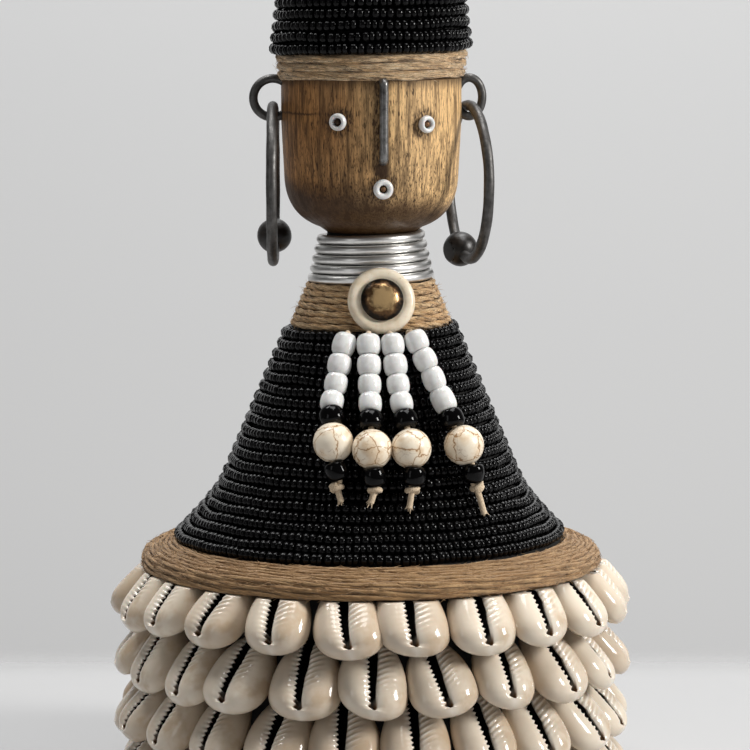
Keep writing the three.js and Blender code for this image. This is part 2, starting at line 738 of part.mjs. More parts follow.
// Stops along a strand, one in each gap between beads: how far down the body line it lies and
// how far it stands off the beads of the body, so that every bead rests on them.
function strandStops() {
  const stops = [
    { along: 0, off: CORD_RADIUS },
    { along: CORD_LEAD, off: STRAND_BEADS[0].radius },
  ];
  STRAND_BEADS.forEach((bead, k) => {
    const next = STRAND_BEADS[k + 1] ?? { radius: KNOT_RADIUS };
    const along = stops.at(-1).along + bead.length + SEAT_GAP;
    stops.push({ along, off: Math.max(bead.radius, next.radius) });
  });
  const climb = (to, from) => {
    to.off = Math.max(to.off, from.off - STRAND_RISE * Math.abs(from.along - to.along));
  };
  for (let k = stops.length - 2; k > 1; k -= 1) climb(stops[k], stops[k + 1]);
  for (let k = 2; k < stops.length; k += 1) climb(stops[k], stops[k - 1]);
  return stops;
}

function onBody({ along, off }, angle) {
  const { point, out } = onLine(BODY_LINE, along / BODY_LINE.getLength());
  const lift = BEAD_STRING_RADIUS + chordSlack(point.x, BODY_STEPS) + SEAT_GAP + off;
  return around(angle, point.x + out.x * lift, point.y + out.y * lift);
}

// Points of a strand from its tie at the shoulder to the end of its tail.
function strandRoute({ top, low, tail }) {
  const stops = strandStops();
  const first = stops[1];
  const large = stops[2 + STRAND_BEADS.findIndex((bead) => bead.round)];
  const angleAt = (stop, sideways) => Math.asin(sideways / Math.abs(onBody(stop, 0).y));
  const topAngle = angleAt(first, top * (2 * WHITE_RADIUS + STRAND_SPARE));
  const lowAngle = angleAt(large, low * (2 * HOWLITE_RADIUS + STRAND_SPARE));
  const points = stops.map((stop) => {
    const share = (stop.along - first.along) / (large.along - first.along);
    return onBody(stop, topAngle + (lowAngle - topAngle) * share);
  });
  const end = points.at(-1);
  const down = end.clone().sub(points.at(-2)).normalize();
  const knot = end.clone().addScaledVector(down, KNOT_RADIUS + SEAT_GAP);
  const tip = knot.clone().addScaledVector(down, KNOT_RADIUS + tail);
  return { points: [...points, knot, tip], knot };
}

function addStrand(group, strand) {
  const { points, knot } = strandRoute(strand);
  const cord = solid(tubeAlong(new StraightRuns(points), CORD_RADIUS, BEAD_SIDES, points.length - 1));
  const ball = new THREE.SphereGeometry(KNOT_RADIUS, BEAD_SIDES, KNOT_RINGS);
  ball.translate(knot.x, knot.y, knot.z);
  addPiece(group, `${strand.name}_cord`, geometryOf(cord.add(solid(ball))), 'cord');
  STRAND_BEADS.forEach((bead, k) => {
    const [from, to] = [points[k + 1], points[k + 2]];
    const frame = frameAt(from.clone().add(to).multiplyScalar(0.5), to.clone().sub(from));
    const shape = bead.round ? roundBead(bead) : barrelBead(bead);
    addPiece(group, `${strand.name}_${bead.name}`, shape, bead.finish, frame);
  });
}

// Assembly

const doll = new THREE.Group();
addPiece(doll, 'wooden_figure', woodenFigure(), 'wood');

const wound = new THREE.Group();
[
  ['headdress_beads', HEADDRESS_LINE, BEAD_STRING_RADIUS, HEAD_STEPS, Math.PI, 'blackBead'],
  ['headband_twine', HEADBAND_LINE, HEADBAND_TWINE_RADIUS, HEAD_STEPS, Math.PI, 'twine'],
  ['neck_coil', NECK_LINE, NECK_WIRE_RADIUS, NECK_STEPS, 0, 'aluminium'],
  ['shoulder_twine', SHOULDER_LINE, SHOULDER_TWINE_RADIUS, NECK_STEPS, Math.PI, 'twine'],
  ['body_beads', BODY_LINE, BEAD_STRING_RADIUS, BODY_STEPS, Math.PI, 'blackBead'],
  ['brim_twine', BRIM_LINE, BRIM_TWINE_RADIUS, BRIM_STEPS, Math.PI, 'twine'],
].forEach(([name, line, radius, steps, start, finish]) => {
  addPiece(wound, name, winding(name, line, radius, steps, start), finish);
});
doll.add(wound);

const skirt = new THREE.Group();
addPiece(skirt, 'skirt_cloth', skirtCloth(), 'cloth');
for (let row = 0; row < SHELL_ROWS; row += 1) {
  addPiece(skirt, `cowrie_row_${row + 1}`, cowrieRow(row), 'shell');
}
doll.add(skirt);

const face = new THREE.Group();
FACE_BEADS.forEach((bead) => {
  addPiece(face, `${bead.name}_bead`, ringBead(bead.scale), 'whiteBead', faceFrame(bead));
  addPiece(face, `${bead.name}_nail`, nail(0), 'iron', faceFrame(bead));
});
addPiece(face, 'nose_wire', noseWire(0), 'iron');
doll.add(face);

EARRINGS.forEach(({ side, sign, turn, ball }) => {
  addPiece(doll, `${side}_ear_wire`, earWire(sign, 0), 'iron');
  const earring = new THREE.Group();
  const back = around(Math.PI + sign * turn, 1, 0);
  const stand = new THREE.Matrix4().makeBasis(back, UP, back.clone().cross(UP));
  stand.setPosition(sign * earCentre, 0, earHeight - EAR_RADIUS);
  earring.applyMatrix4(stand);
  addPiece(earring, `${side}_earring_hoop`, hoop(HOOP_WIRE_RADIUS), 'iron');
  addPiece(earring, `${side}_earring_ball`, hoopBall(ball), 'darkWood');
  doll.add(earring);
});

const pendant = new THREE.Group();
pendant.applyMatrix4(pendantFrame());
addPiece(pendant, 'pendant_ring', pendantRing(), 'bone');
addPiece(pendant, 'pendant_stud', pendantStud(), 'bronze');
doll.add(pendant);

const strands = new THREE.Group();
STRANDS.forEach((strand) => addStrand(strands, strand));
doll.add(strands);

export default doll;
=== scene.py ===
"""Dressed scene of a namji doll.

A turned wooden figure wears wound strings of black seed beads, jute twine and a coil of
wire, a skirt of cowrie shells, hoop earrings, a bone pendant and four strands of beads.
Sizes are in millimetres in the classes and are scaled to metres when a piece is added.
"""

import logging
import math
import random
from dataclasses import dataclass
from enum import Enum
from typing import Callable, Sequence

import bmesh
import bpy
import numpy as np
from mathutils import Matrix, Vector, noise


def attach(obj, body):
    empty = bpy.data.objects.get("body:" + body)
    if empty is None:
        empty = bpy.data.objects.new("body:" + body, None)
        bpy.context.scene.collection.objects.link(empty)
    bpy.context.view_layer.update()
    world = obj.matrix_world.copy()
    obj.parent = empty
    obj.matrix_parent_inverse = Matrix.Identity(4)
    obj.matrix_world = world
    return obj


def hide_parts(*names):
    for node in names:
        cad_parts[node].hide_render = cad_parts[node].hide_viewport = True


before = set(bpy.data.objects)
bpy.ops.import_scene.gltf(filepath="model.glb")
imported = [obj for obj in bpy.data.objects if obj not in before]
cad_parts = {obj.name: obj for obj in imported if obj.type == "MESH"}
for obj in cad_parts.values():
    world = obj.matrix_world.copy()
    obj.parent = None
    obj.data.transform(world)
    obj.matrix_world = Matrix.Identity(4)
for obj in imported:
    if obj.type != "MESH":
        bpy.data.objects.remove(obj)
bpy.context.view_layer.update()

LOG = logging.getLogger("namji_doll")
MM = 0.001
TURN = 2.0 * math.pi
UP = Vector((0.0, 0.0, 1.0))
FRONT = Vector((0.0, -1.0, 0.0))
SMOOTH = 180.0
CREASE = 60.0
STRAND_SHIFT = 7.3
WIRE_LEVEL = 4

Point2 = tuple[float, float]
Point3 = tuple[float, float, float]
Colour = tuple[float, float, float]
Material = bpy.types.Material
Mesh = bpy.types.Mesh
Piece = bpy.types.Object
Shape = bmesh.types.BMesh
Inputs = dict[str | int, object]


class Body(Enum):
    """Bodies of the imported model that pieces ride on."""

    FIGURE = "figure"
    LEFT_EARRING = "left_earring"
    RIGHT_EARRING = "right_earring"
    STRAND_1 = "strand_1"
    STRAND_2 = "strand_2"
    STRAND_3 = "strand_3"
    STRAND_4 = "strand_4"


class Slot(Enum):
    """Material slots of the record."""

    WOOD = "wood"
    BLACK_GLASS = "black_glass"
    JUTE = "jute"
    ALUMINIUM = "aluminium_wire"
    CLOTH = "black_cloth"
    COWRIE = "cowrie"
    IRON = "iron"
    WHITE_GLASS = "white_glass"
    NAIL = "nail_iron"
    DARK_WOOD = "dark_wood"
    BONE = "bone"
    BRONZE = "bronze"
    HOWLITE = "howlite"
    CORD = "cotton_cord"


class Blend(Enum):
    """Ways of laying one colour over another."""

    MIX = "MIX"
    MULTIPLY = "MULTIPLY"


# Material building

class Value:
    """An output of a node, with the sums and patterns that can follow it."""

    def __init__(self, shader: "Shader", socket: bpy.types.NodeSocket) -> None:
        """Keeps the output and its material."""
        self.shader, self.socket = shader, socket

    def math(self, operation: str, *terms: "Value | float") -> "Value":
        """A Math node with this value as its first input."""
        return self.shader.node("Math", 0, dict(enumerate((self, *terms))), operation=operation)

    def __add__(self, other: "Value | float") -> "Value":
        """Sum of two values."""
        return self.math("ADD", other)

    def __sub__(self, other: "Value | float") -> "Value":
        """Difference of two values."""
        return self.math("SUBTRACT", other)

    def __mul__(self, other: "Value | float") -> "Value":
        """Product of two values."""
        return self.math("MULTIPLY", other)

    def __abs__(self) -> "Value":
        """The value without its sign."""
        return self.math("ABSOLUTE")

    def axis(self, which: str) -> "Value":
        """One component, X, Y or Z, of a vector."""
        return self.shader.node("SeparateXYZ", which, {0: self})

    def stretch(self, scale: Point3) -> "Value":
        """A vector scaled along each axis."""
        return self.shader.node("Mapping", 0, {"Vector": self, "Scale": scale})

    def grain(self, scale: float, detail: float = 4.0, rough: float = 0.55,
              twist: float = 0.0) -> "Value":
        """Smooth noise at these coordinates.

        Args:
            scale: Scale of the noise.
            detail: Number of finer layers.
            rough: Strength of the finer layers.
            twist: Distortion.

        Returns:
            The noise, from 0 to 1.
        """
        return self.shader.node("TexNoise", 0, {
            "Vector": self, "Scale": scale, "Detail": detail, "Roughness": rough,
            "Distortion": twist})

    def cracks(self, scale: float) -> "Value":
        """Distance from the borders of cells at these coordinates."""
        return self.shader.node("TexVoronoi", "Distance", {"Vector": self, "Scale": scale},
                                feature="DISTANCE_TO_EDGE")

    def ramp(self, *stops: tuple[float, Colour | float]) -> "Value":
        """A ramp of colours or greys.

        Args:
            stops: Positions with a colour or a grey level each.

        Returns:
            The colour.
        """
        made = self.shader.add("ValToRGB", {0: self})
        elements = made.color_ramp.elements
        while len(elements) < len(stops):
            elements.new(0.5)
        for element, (position, colour) in zip(elements, stops):
            element.position = position
            element.color = (*(colour if isinstance(colour, tuple) else (colour,) * 3), 1.0)
        return Value(self.shader, made.outputs[0])

    def band(self, low: float, high: float, to_low: float = 0.0, to_high: float = 1.0) -> "Value":
        """Maps a range smoothly to another.

        Args:
            low: Start of the range.
            high: End of the range.
            to_low: Result at the start.
            to_high: Result at the end.

        Returns:
            The mapped value.
        """
        return self.shader.node("MapRange", 0, {0: self, 1: low, 2: high, 3: to_low, 4: to_high},
                                interpolation_type="SMOOTHSTEP")


class Shader:
    """One procedural material on a Principled shader, built node by node."""

    def __init__(self, name: str) -> None:
        """Starts a plain material of that name.

        Args:
            name: Name of the material.
        """
        self.material = bpy.data.materials.new(name)
        self.material.use_nodes = True
        self.tree = self.material.node_tree
        self.colour: Value | None = None

    def fill(self, node: bpy.types.Node, inputs: Inputs) -> None:
        """Sets or links inputs of a node.

        Args:
            node: Node that gets them.
            inputs: Values by input name or number.
        """
        for key, value in inputs.items():
            socket = node.inputs[key]
            if isinstance(value, Value):
                self.tree.links.new(value.socket, socket)
            else:
                is_colour = isinstance(value, tuple) and socket.type == "RGBA"
                socket.default_value = (*value, 1.0) if is_colour else value

    def add(self, kind: str, inputs: Inputs, **settings: object) -> bpy.types.Node:
        """Adds a node.

        Args:
            kind: Node type without its ShaderNode prefix.
            inputs: Values by input name or number.
            settings: Properties of the node.

        Returns:
            The new node.
        """
        made = self.tree.nodes.new("ShaderNode" + kind)
        for key, value in settings.items():
            setattr(made, key, value)
        self.fill(made, inputs)
        return made

    def node(self, kind: str, output: str | int, inputs: Inputs | None = None,
             **settings: object) -> Value:
        """One output of a new node, which add describes."""
        return Value(self, self.add(kind, inputs or {}, **settings).outputs[output])

    def place(self, scale: Point3 = (1.0, 1.0, 1.0)) -> Value:
        """Object coordinates in millimetres, scaled along each axis."""
        return self.node("TexCoord", "Object").stretch(tuple(value / MM for value in scale))

    def attribute(self, name: str, part: str = "Vector") -> Value:
        """A named attribute of the mesh, as Vector or Fac."""
        return self.node("Attribute", part, attribute_name=name)

    def mix(self, share: Value, low: Value | Colour, high: Value | Colour,
            blend: Blend = Blend.MIX) -> Value:
        """A colour with a share of another laid over it."""
        return self.node("Mix", 2, {0: share, 6: low, 7: high}, data_type="RGBA",
                         blend_type=blend.value)

    def lay(self, share: Value, top: Colour, blend: Blend = Blend.MIX) -> None:
        """Lays a share of a colour over the colour in hand."""
        self.colour = self.mix(share, self.colour, top, blend)

    def relief(self, height: Value, depth: float, strength: float) -> None:
        """Adds a bump.

        Args:
            height: Height between 0 and 1.
            depth: Real depth in millimetres.
            strength: Strength of the bump.
        """
        values = {"Height": height, "Distance": depth * MM, "Strength": strength}
        self.surface(Normal=self.node("Bump", 0, values))

    def surface(self, **values: Value | float) -> None:
        """Sets inputs of the Principled shader, with underscores for blanks in their names."""
        self.fill(self.tree.nodes["Principled BSDF"],
                  {key.replace("_", " "): values[key] for key in values})


# Finishes

@dataclass(frozen=True)
class Finish:
    """A finish that paints a material of its own name."""

    name: str

    def paint(self, shader: Shader) -> None:
        """Sets the colour in hand and the other inputs of the surface.

        Args:
            shader: Material in hand.
        """
        raise NotImplementedError

    def material(self) -> Material:
        """The material with this finish.

        Returns:
            The new material.
        """
        shader = Shader(self.name)
        self.paint(shader)
        shader.surface(Base_Color=shader.colour)
        return shader.material


@dataclass(frozen=True)
class GrainFinish(Finish):
    """One grain that sets colour, gloss and relief alike."""

    low: Colour
    high: Colour
    stops: Point2
    stretch: Point3
    grain: tuple[float, ...]
    roughness: Point2
    bump: Point2
    extras: tuple[tuple[str, float], ...] = ()

    def paint(self, shader: Shader) -> None:
        """Paints the grain.

        Args:
            shader: Material in hand.
        """
        grain = shader.place(self.stretch).grain(*self.grain)
        shader.colour = grain.ramp((self.stops[0], self.low), (self.stops[1], self.high))
        shader.relief(grain, *self.bump)
        shader.surface(Roughness=grain.band(0.3, 0.7, *self.roughness), **dict(self.extras))


def underlay(name: str, colour: Colour) -> GrainFinish:
    """Glued thread that shows between wound strings.

    Args:
        name: Name of the finish.
        colour: Its darkest colour.

    Returns:
        The finish.
    """
    lighter = tuple(2.2 * value for value in colour)
    return GrainFinish(name, colour, lighter, (0.35, 0.7), (0.6, 0.6, 3.0), (1.2, 3.0), (0.9, 0.9),
                       (0.2, 0.6))


BLACK_UNDERLAY = underlay("dark_underlay", (0.003, 0.0026, 0.0024))
BROWN_UNDERLAY = underlay("brown_underlay", (0.12, 0.07, 0.03))
WHITE_GLASS = GrainFinish(
    "white_glass_beads", (0.64, 0.63, 0.60), (0.74, 0.74, 0.73), (0.30, 0.56), (1.0, 1.0, 1.0),
    (0.55, 4.0, 0.55), (0.26, 0.12), (0.06, 0.35),
    (("IOR", 1.5), ("Subsurface_Weight", 0.08), ("Subsurface_Scale", 0.0008)))
DARK_WOOD = GrainFinish(
    "dark_wood_balls", (0.004, 0.0034, 0.003), (0.014, 0.009, 0.006), (0.35, 0.68),
    (1.0, 0.25, 1.0), (0.9, 5.0, 0.6, 0.5), (0.30, 0.46), (0.12, 0.5),
    (("Specular_IOR_Level", 0.5),))
COTTON = GrainFinish(
    "cotton_cord", (0.36, 0.25, 0.145), (0.68, 0.545, 0.385), (0.30, 0.55), (2.2, 2.2, 1.0),
    (2.0, 3.0, 0.6), (0.8, 0.8), (0.15, 0.7), (("Sheen_Weight", 0.15),))


@dataclass(frozen=True)
class WoodFinish(Finish):
    """Stained wood with upright grain and smoky at the chin, with painted light that turns the
    right cheek gold and painted shade on the left side, under the headband and round the nose wire.
    """

    name: str = "stained_wood"
    spots: tuple[Point3, ...] = ()
    lit_golden: Colour = (0.82, 0.53, 0.25)
    warm: Colour = (0.46, 0.22, 0.074)
    dark: Colour = (0.034, 0.016, 0.007)
    smoky: Colour = (0.044, 0.019, 0.006)
    chin: float = 150.4
    brow: float = 189.2
    crack: float = 180.2
    nose_foot_shade: Point3 = (-0.3, -22.9, 166.4)

    @staticmethod
    def stain(place: Value, spot: Point3, size: float, reach: float) -> Value:
        """Soft stain round a spot of the face, from its dark middle to where it ends."""
        away = place.shader.node("VectorMath", "Value", {0: place, 1: spot}, operation="DISTANCE")
        return away.band(size, reach, 1.0, 0.0)

    def paint(self, shader: Shader) -> None:
        """Paints streaks, smoke, stains round the beads and a crack on the left cheek, with painted
        light on the right cheek and painted shade on the left side, under the headband and along
        and below the nose wire.

        Args:
            shader: Material in hand.
        """
        place, upright = shader.place(), shader.place((1.0, 1.0, 0.07))
        across, height = place.axis("X"), place.axis("Z")
        streaks = upright.grain(0.55, 6.0, 0.62, 0.4)
        fine = upright.grain(2.6, 4.0, 0.6)
        dashes = shader.place((1.0, 1.0, 0.17)).grain(2.1, 2.0, 0.5)
        flecks = shader.place((1.0, 1.0, 0.3)).grain(3.0, 2.0, 0.5)
        cloudy = place.grain(0.07, 3.0)
        side = cloudy * 16.0 + across
        lower = height.band(self.chin + 8.0, self.brow - 8.0, 1.0, 0.35)
        # painted light and shade: the wood turns gold towards the lit right cheek and warm brown
        # towards the shaded left
        shader.colour = shader.mix(side.band(-12.0, 14.0), self.warm, self.lit_golden)
        # streaks, fine grain, dashes and lower flecks, then painted shade that darkens the left
        # side
        for share in (streaks.ramp((0.38, 0.65), (0.53, 0.0)), fine.ramp((0.38, 0.55), (0.56, 0.0)),
                      dashes.ramp((0.34, 0.8), (0.40, 0.0)),
                      flecks.ramp((0.36, 0.9), (0.43, 0.0)) * lower,
                      side.band(-21.0, -6.0, 0.45, 0.0)):
            shader.lay(share, self.dark)
        smoke = cloudy * 9.0 + (across * 0.16 + height)
        shader.lay(smoke.band(self.chin + 9.5, self.chin + 17.5, 0.9, 0.0), self.smoky)
        # painted shade on the wood just under the headband
        shader.lay(height.band(self.brow - 3.0, self.brow + 0.5, 0.0, 0.75), self.dark)
        for spot in self.spots:
            shader.lay(self.stain(place, spot, 2.9, 5.0) * flecks.band(0.36, 0.60, 1.0, 0.35),
                       self.dark)
        mouth = self.spots[-1][2]
        # painted shadow of the nose wire down its left side, mottled by the flecks
        nose = abs(across + 0.7).band(1.0, 3.0, 0.95, 0.0) * height.band(mouth + 1.0, mouth + 3.5)
        shader.lay(nose * flecks.band(0.36, 0.66, 1.0, 0.5), self.dark)
        # painted shade below the lower end of the nose wire
        shader.lay(self.stain(place, self.nose_foot_shade, 1.3, 2.7) * 0.9, self.dark)
        rift = cloudy * 3.0 + (height - (self.crack + 1.5))
        rift = abs(dashes * 1.4 + (rift - 0.7)).band(0.10, 0.42, 0.8, 0.0)
        rift *= across.band(-18.5, -15.5, 1.0, 0.28)
        shader.lay(rift * across.band(-14.0, -12.0, 1.0, 0.0), self.dark)
        shader.relief(streaks + fine * 0.5, 0.22, 0.5)
        shader.surface(Roughness=streaks.band(0.3, 0.7, 0.58, 0.42), Specular_IOR_Level=0.22)


@dataclass(frozen=True)
class BlackGlassFinish(Finish):
    """Opaque black glass with small differences between beads."""

    name: str = "black_glass_beads"
    colour: Colour = (0.0012, 0.0011, 0.0012)

    def paint(self, shader: Shader) -> None:
        """Paints each bead in its own tone.

        Args:
            shader: Material in hand.
        """
        tone = shader.attribute("tone", "Fac")
        greyer = tuple(2.4 * value for value in self.colour)
        shader.colour = tone.ramp((0.0, self.colour), (1.0, greyer))
        smear = shader.place().grain(0.9, 3.0)
        shader.relief(shader.place().grain(1.1, 2.0), 0.05, 0.35)
        shader.surface(Roughness=smear * 0.06 + (tone * 0.07 + 0.02), IOR=1.52,
                       Specular_IOR_Level=0.15)


@dataclass(frozen=True)
class JuteFinish(Finish):
    """Spun jute whose fibres run along the strand."""

    name: str = "jute_twine"
    pale: Colour = (0.94, 0.72, 0.45)
    tan: Colour = (0.62, 0.41, 0.20)
    crease: Colour = (0.105, 0.056, 0.022)
    grime: float = 0.0
    contrast: float = 0.0

    def paint(self, shader: Shader) -> None:
        """Paints fibres, longer tones, dirt and smudges.

        Args:
            shader: Material in hand.
        """
        strand, more = shader.attribute("strand"), self.contrast
        fibres = strand.stretch((0.45, 5.0, 1.0)).grain(2.4, 4.0, 0.65, 0.3)
        tones = strand.stretch((0.16, 0.6, 1.0)).grain(1.0, 2.0)
        patches = shader.place().grain(0.16, 3.0)
        smudges = strand.stretch((0.35, 1.6, 1.0)).grain(0.9, 4.0, 0.7, 0.4)
        shader.colour = fibres.ramp((0.34 + 0.5 * more, self.crease), (0.46, self.tan),
                                    (0.60 - 0.5 * more, self.pale))
        shader.lay(tones.band(0.35, 0.7, 0.55, 0.0), self.tan, Blend.MULTIPLY)
        shader.lay(patches.band(0.40, 0.66, 0.15 + self.grime, 0.3 * self.grime), self.crease)
        shader.lay(smudges.ramp((0.38 + more, 0.85), (0.49 + more, 0.0)), self.crease)
        shader.relief(fibres, 0.25, 0.8)
        shader.surface(Roughness=0.86, Specular_IOR_Level=0.25, Sheen_Weight=0.25,
                       Sheen_Roughness=0.5)


@dataclass(frozen=True)
class WireFinish(Finish):
    """Drawn or forged wire with long scratches and dull patches."""

    bright: Colour
    dull: Colour
    smooth: float
    coarse: float
    metal: float = 1.0
    pits: float = 0.06

    def paint(self, shader: Shader) -> None:
        """Paints scratches and wear.

        Args:
            shader: Material in hand.
        """
        scratches = shader.attribute("strand").stretch((0.25, 6.0, 1.0)).grain(1.6, 4.0, 0.6)
        patches = shader.place().grain(0.55, 5.0, 0.6)
        worn = scratches * 0.45 + patches * 0.6
        shader.colour = worn.ramp((0.38, self.dull), (0.62, self.bright))
        if self.pits:
            shader.relief(patches + scratches, self.pits, 0.5)
        shader.surface(Roughness=worn.band(0.36, 0.66, self.coarse, self.smooth),
                       Metallic=self.metal, Specular_IOR_Level=0.4)


@dataclass(frozen=True)
class BoneFinish(Finish):
    """Polished bone with dark pores."""

    name: str = "polished_bone"
    pale: Colour = (0.82, 0.725, 0.575)
    warm: Colour = (0.71, 0.575, 0.40)
    speck: Colour = (0.20, 0.12, 0.055)

    def paint(self, shader: Shader) -> None:
        """Paints clouds and pores.

        Args:
            shader: Material in hand.
        """
        pores = shader.place((1.0, 1.0, 0.5)).grain(2.6, 2.0, 0.5)
        shader.colour = shader.place().grain(0.32).ramp((0.34, self.warm), (0.60, self.pale))
        shader.lay(pores.ramp((0.24, 0.9), (0.29, 0.0)), self.speck)
        shader.relief(pores.ramp((0.25, 0.0), (0.34, 1.0)), 0.06, 0.4)
        shader.surface(Roughness=0.27, Subsurface_Weight=0.10, Subsurface_Scale=0.001)


@dataclass(frozen=True)
class BronzeFinish(Finish):
    """Antiqued bronze, dark round the edge of the dome, with a painted highlight that makes its
    crown bright.
    """

    name: str = "antiqued_bronze_highlight"
    bright: Colour = (0.95, 0.64, 0.31)
    brown: Colour = (0.12, 0.062, 0.025)
    dark: Colour = (0.013, 0.009, 0.006)

    def paint(self, shader: Shader) -> None:
        """Paints a highlight on the crown of the dome, dark towards its edge and broken up by
        dents.

        Args:
            shader: Material in hand.
        """
        dents = shader.place().grain(0.7, 4.0, 0.6)
        # painted highlight: the dome attribute brightens the crown and darkens towards the edge
        worn = (dents - 0.5) * 0.7 + shader.attribute("dome", "Fac")
        shader.colour = worn.ramp((0.12, self.dark), (0.34, self.brown), (0.64, self.bright))
        shader.relief(dents, 0.16, 0.5)
        shader.surface(Roughness=worn.band(0.1, 0.8, 0.30, 0.22), Metallic=0.78)


@dataclass(frozen=True)
class HowliteFinish(Finish):
    """Cream stone with a net of brown crackle veins."""

    name: str = "howlite"
    cream: Colour = (0.86, 0.76, 0.61)
    warm: Colour = (0.73, 0.56, 0.375)
    vein: Colour = (0.33, 0.18, 0.075)

    def paint(self, shader: Shader) -> None:
        """Paints clouds and wandering veins, wide and thin.

        Args:
            shader: Material in hand.
        """
        place = shader.place()
        wander = shader.node("TexNoise", "Color", {"Vector": place, "Scale": 0.5, "Detail": 3.0})
        bent = shader.node("VectorMath", 0, {0: wander, 1: (2.6, 2.6, 2.6), 2: place},
                           operation="MULTIPLY_ADD")
        wide, thin = bent.cracks(0.17), bent.cracks(0.5)
        shader.colour = place.grain(0.25, 3.0).ramp((0.30, self.warm), (0.50, self.cream))
        shader.lay(wide.ramp((0.0, 0.55), (0.10, 0.0)), self.warm)
        shader.lay(wide.ramp((0.008, 0.95), (0.03, 0.0)), self.vein)
        shader.lay(thin.ramp((0.010, 0.5), (0.04, 0.0)) * place.grain(0.4, 2.0).band(0.48, 0.62),
                   self.vein)
        shader.relief(wide.ramp((0.0, 0.0), (0.05, 1.0)), 0.05, 0.4)
        shader.surface(Roughness=0.24, Specular_IOR_Level=0.5)


@dataclass(frozen=True)
class ClothFinish(Finish):
    """Black cotton behind the shells."""

    name: str = "black_cotton"
    dark: Colour = (0.003, 0.0026, 0.0023)
    light: Colour = (0.010, 0.0085, 0.007)

    def paint(self, shader: Shader) -> None:
        """Paints the weave.

        Args:
            shader: Material in hand.
        """
        threads = shader.attribute("weave").stretch((1.6, 1.6, 1.0))
        weave = shader.node("TexChecker", "Fac", {"Vector": threads, "Scale": 1.0})
        shader.colour = shader.mix(weave * 0.5, self.dark, self.light)
        shader.lay(shader.place().grain(1.4, 3.0), self.dark)
        shader.relief(weave, 0.1, 0.4)
        shader.surface(Roughness=0.95, Sheen_Weight=0.2)


@dataclass(frozen=True)
class CowrieFinish(Finish):
    """Glossy shell: swollen lips with ribs, and an open dark slit with teeth on one side."""

    name: str = "cowrie_shell"
    white: Colour = (0.80, 0.75, 0.67)
    cream: Colour = (0.67, 0.585, 0.475)
    beige: Colour = (0.50, 0.40, 0.30)
    tan: Colour = (0.42, 0.295, 0.18)
    slit: Colour = (0.0025, 0.002, 0.0018)
    notch: Colour = (0.15, 0.075, 0.032)

    @staticmethod
    def opening(lift: Value) -> Value:
        """Half width of the slit along the shell, the same as that of its mesh.

        Args:
            lift: Place along the shell.

        Returns:
            The half width there.
        """
        rows = CowrieRows
        closing = lift.band(rows.slit_end, rows.slit_end + rows.slit_round).math("POWER", 0.5)
        return lift.band(-0.95, 0.35, rows.slit_low, rows.slit_high) * closing

    def paint(self, shader: Shader) -> None:
        """Paints slit, teeth and ribs, with painted light and shade on the ribs and painted shade
        towards the rim, and gives each shell a tone of its own.

        Args:
            shader: Material in hand.
        """
        shell = shader.attribute("shell")
        off_slit, along, tone = (shell.axis(which) for which in "XYZ")
        away, lift = abs(off_slit), along.math("DIVIDE", CowrieRows.half_length)
        left = off_slit.band(-0.1, 0.1, 1.0, 0.0)
        # teeth on the left lip only, as a saw along the slit
        pitch = CowrieRows.tooth_pitch
        tooth = along.math("PINGPONG", pitch / 2) * (2.0 * CowrieRows.tooth_depth / pitch)
        gap = away - (self.opening(lift) - tooth * left)
        ends = lift.band(CowrieRows.slit_end, CowrieRows.slit_end + 0.02)
        in_slit = gap.band(-0.07, 0.07, 1.0, 0.0) * ends
        # ribs: fine ones behind the teeth, broad slanting ones on the upper part of the right lip
        fine = (along * (TURN / pitch)).math("COSINE") * gap.band(0.0, 0.9, -0.7, 0.0) * ends
        slant = off_slit * -CowrieRows.rib_slant + along
        broad = (slant * (TURN / CowrieRows.rib_pitch)).math("SINE")
        broad *= gap.band(0.6, CowrieRows.rib_reach, 1.0, 0.0)
        ribs = shader.mix(left, broad * lift.band(-0.65, -0.1), fine)
        # colour: whiter by the slit, tan on the right lip and brown at the lower end, with painted
        # light on rib crests, painted shade in rib troughs and towards the rim
        patches = shader.place().grain(0.16, 3.0)
        shader.colour = (tone * 0.7 + patches * 0.6).ramp((0.22, self.beige), (0.75, self.cream))
        shader.lay(off_slit.band(1.2, 4.0) * patches.band(0.42, 0.66, 0.0, 0.6), self.tan)
        shader.lay(gap.band(0.0, 2.2, 0.45, 0.0), self.white)
        # painted light and shade on the ribs: whiter on the crests, tan in the troughs
        shader.lay(ribs.band(0.1, 0.9, 0.0, 0.65), self.white)
        shader.lay(ribs.band(-0.9, -0.2, 0.4, 0.0), self.tan)
        # painted shade towards the rim of each lip, where the shell curves away
        shader.lay(away.band(5.4, 9.0, 0.0, 0.4), self.tan)
        shader.lay(lift.band(-0.84, -0.58, 1.0, 0.0) * gap.band(0.0, 0.5, 1.0, 0.0) * ends,
                   self.notch)
        shader.lay(in_slit * lift.band(-0.84, -0.58, 0.3, 1.0), self.slit)
        height = ribs.math("MULTIPLY_ADD", 0.12, in_slit.math("MULTIPLY_ADD", -1.0, 1.0))
        shader.relief(patches * 0.2 + height, 0.42, 0.75)
        shader.surface(Roughness=in_slit.band(0.0, 1.0, 0.13, 0.9),
                       Specular_IOR_Level=in_slit.band(0.0, 1.0, 0.5, 0.05),
                       IOR=1.5, Subsurface_Weight=0.05, Subsurface_Scale=0.001)


# Mesh building

def around(angle: float, radius: float, height: float) -> Vector:
    """A point at an angle off the front, towards +X, a radius and a height."""
    return Vector((radius * math.sin(angle), -radius * math.cos(angle), height))


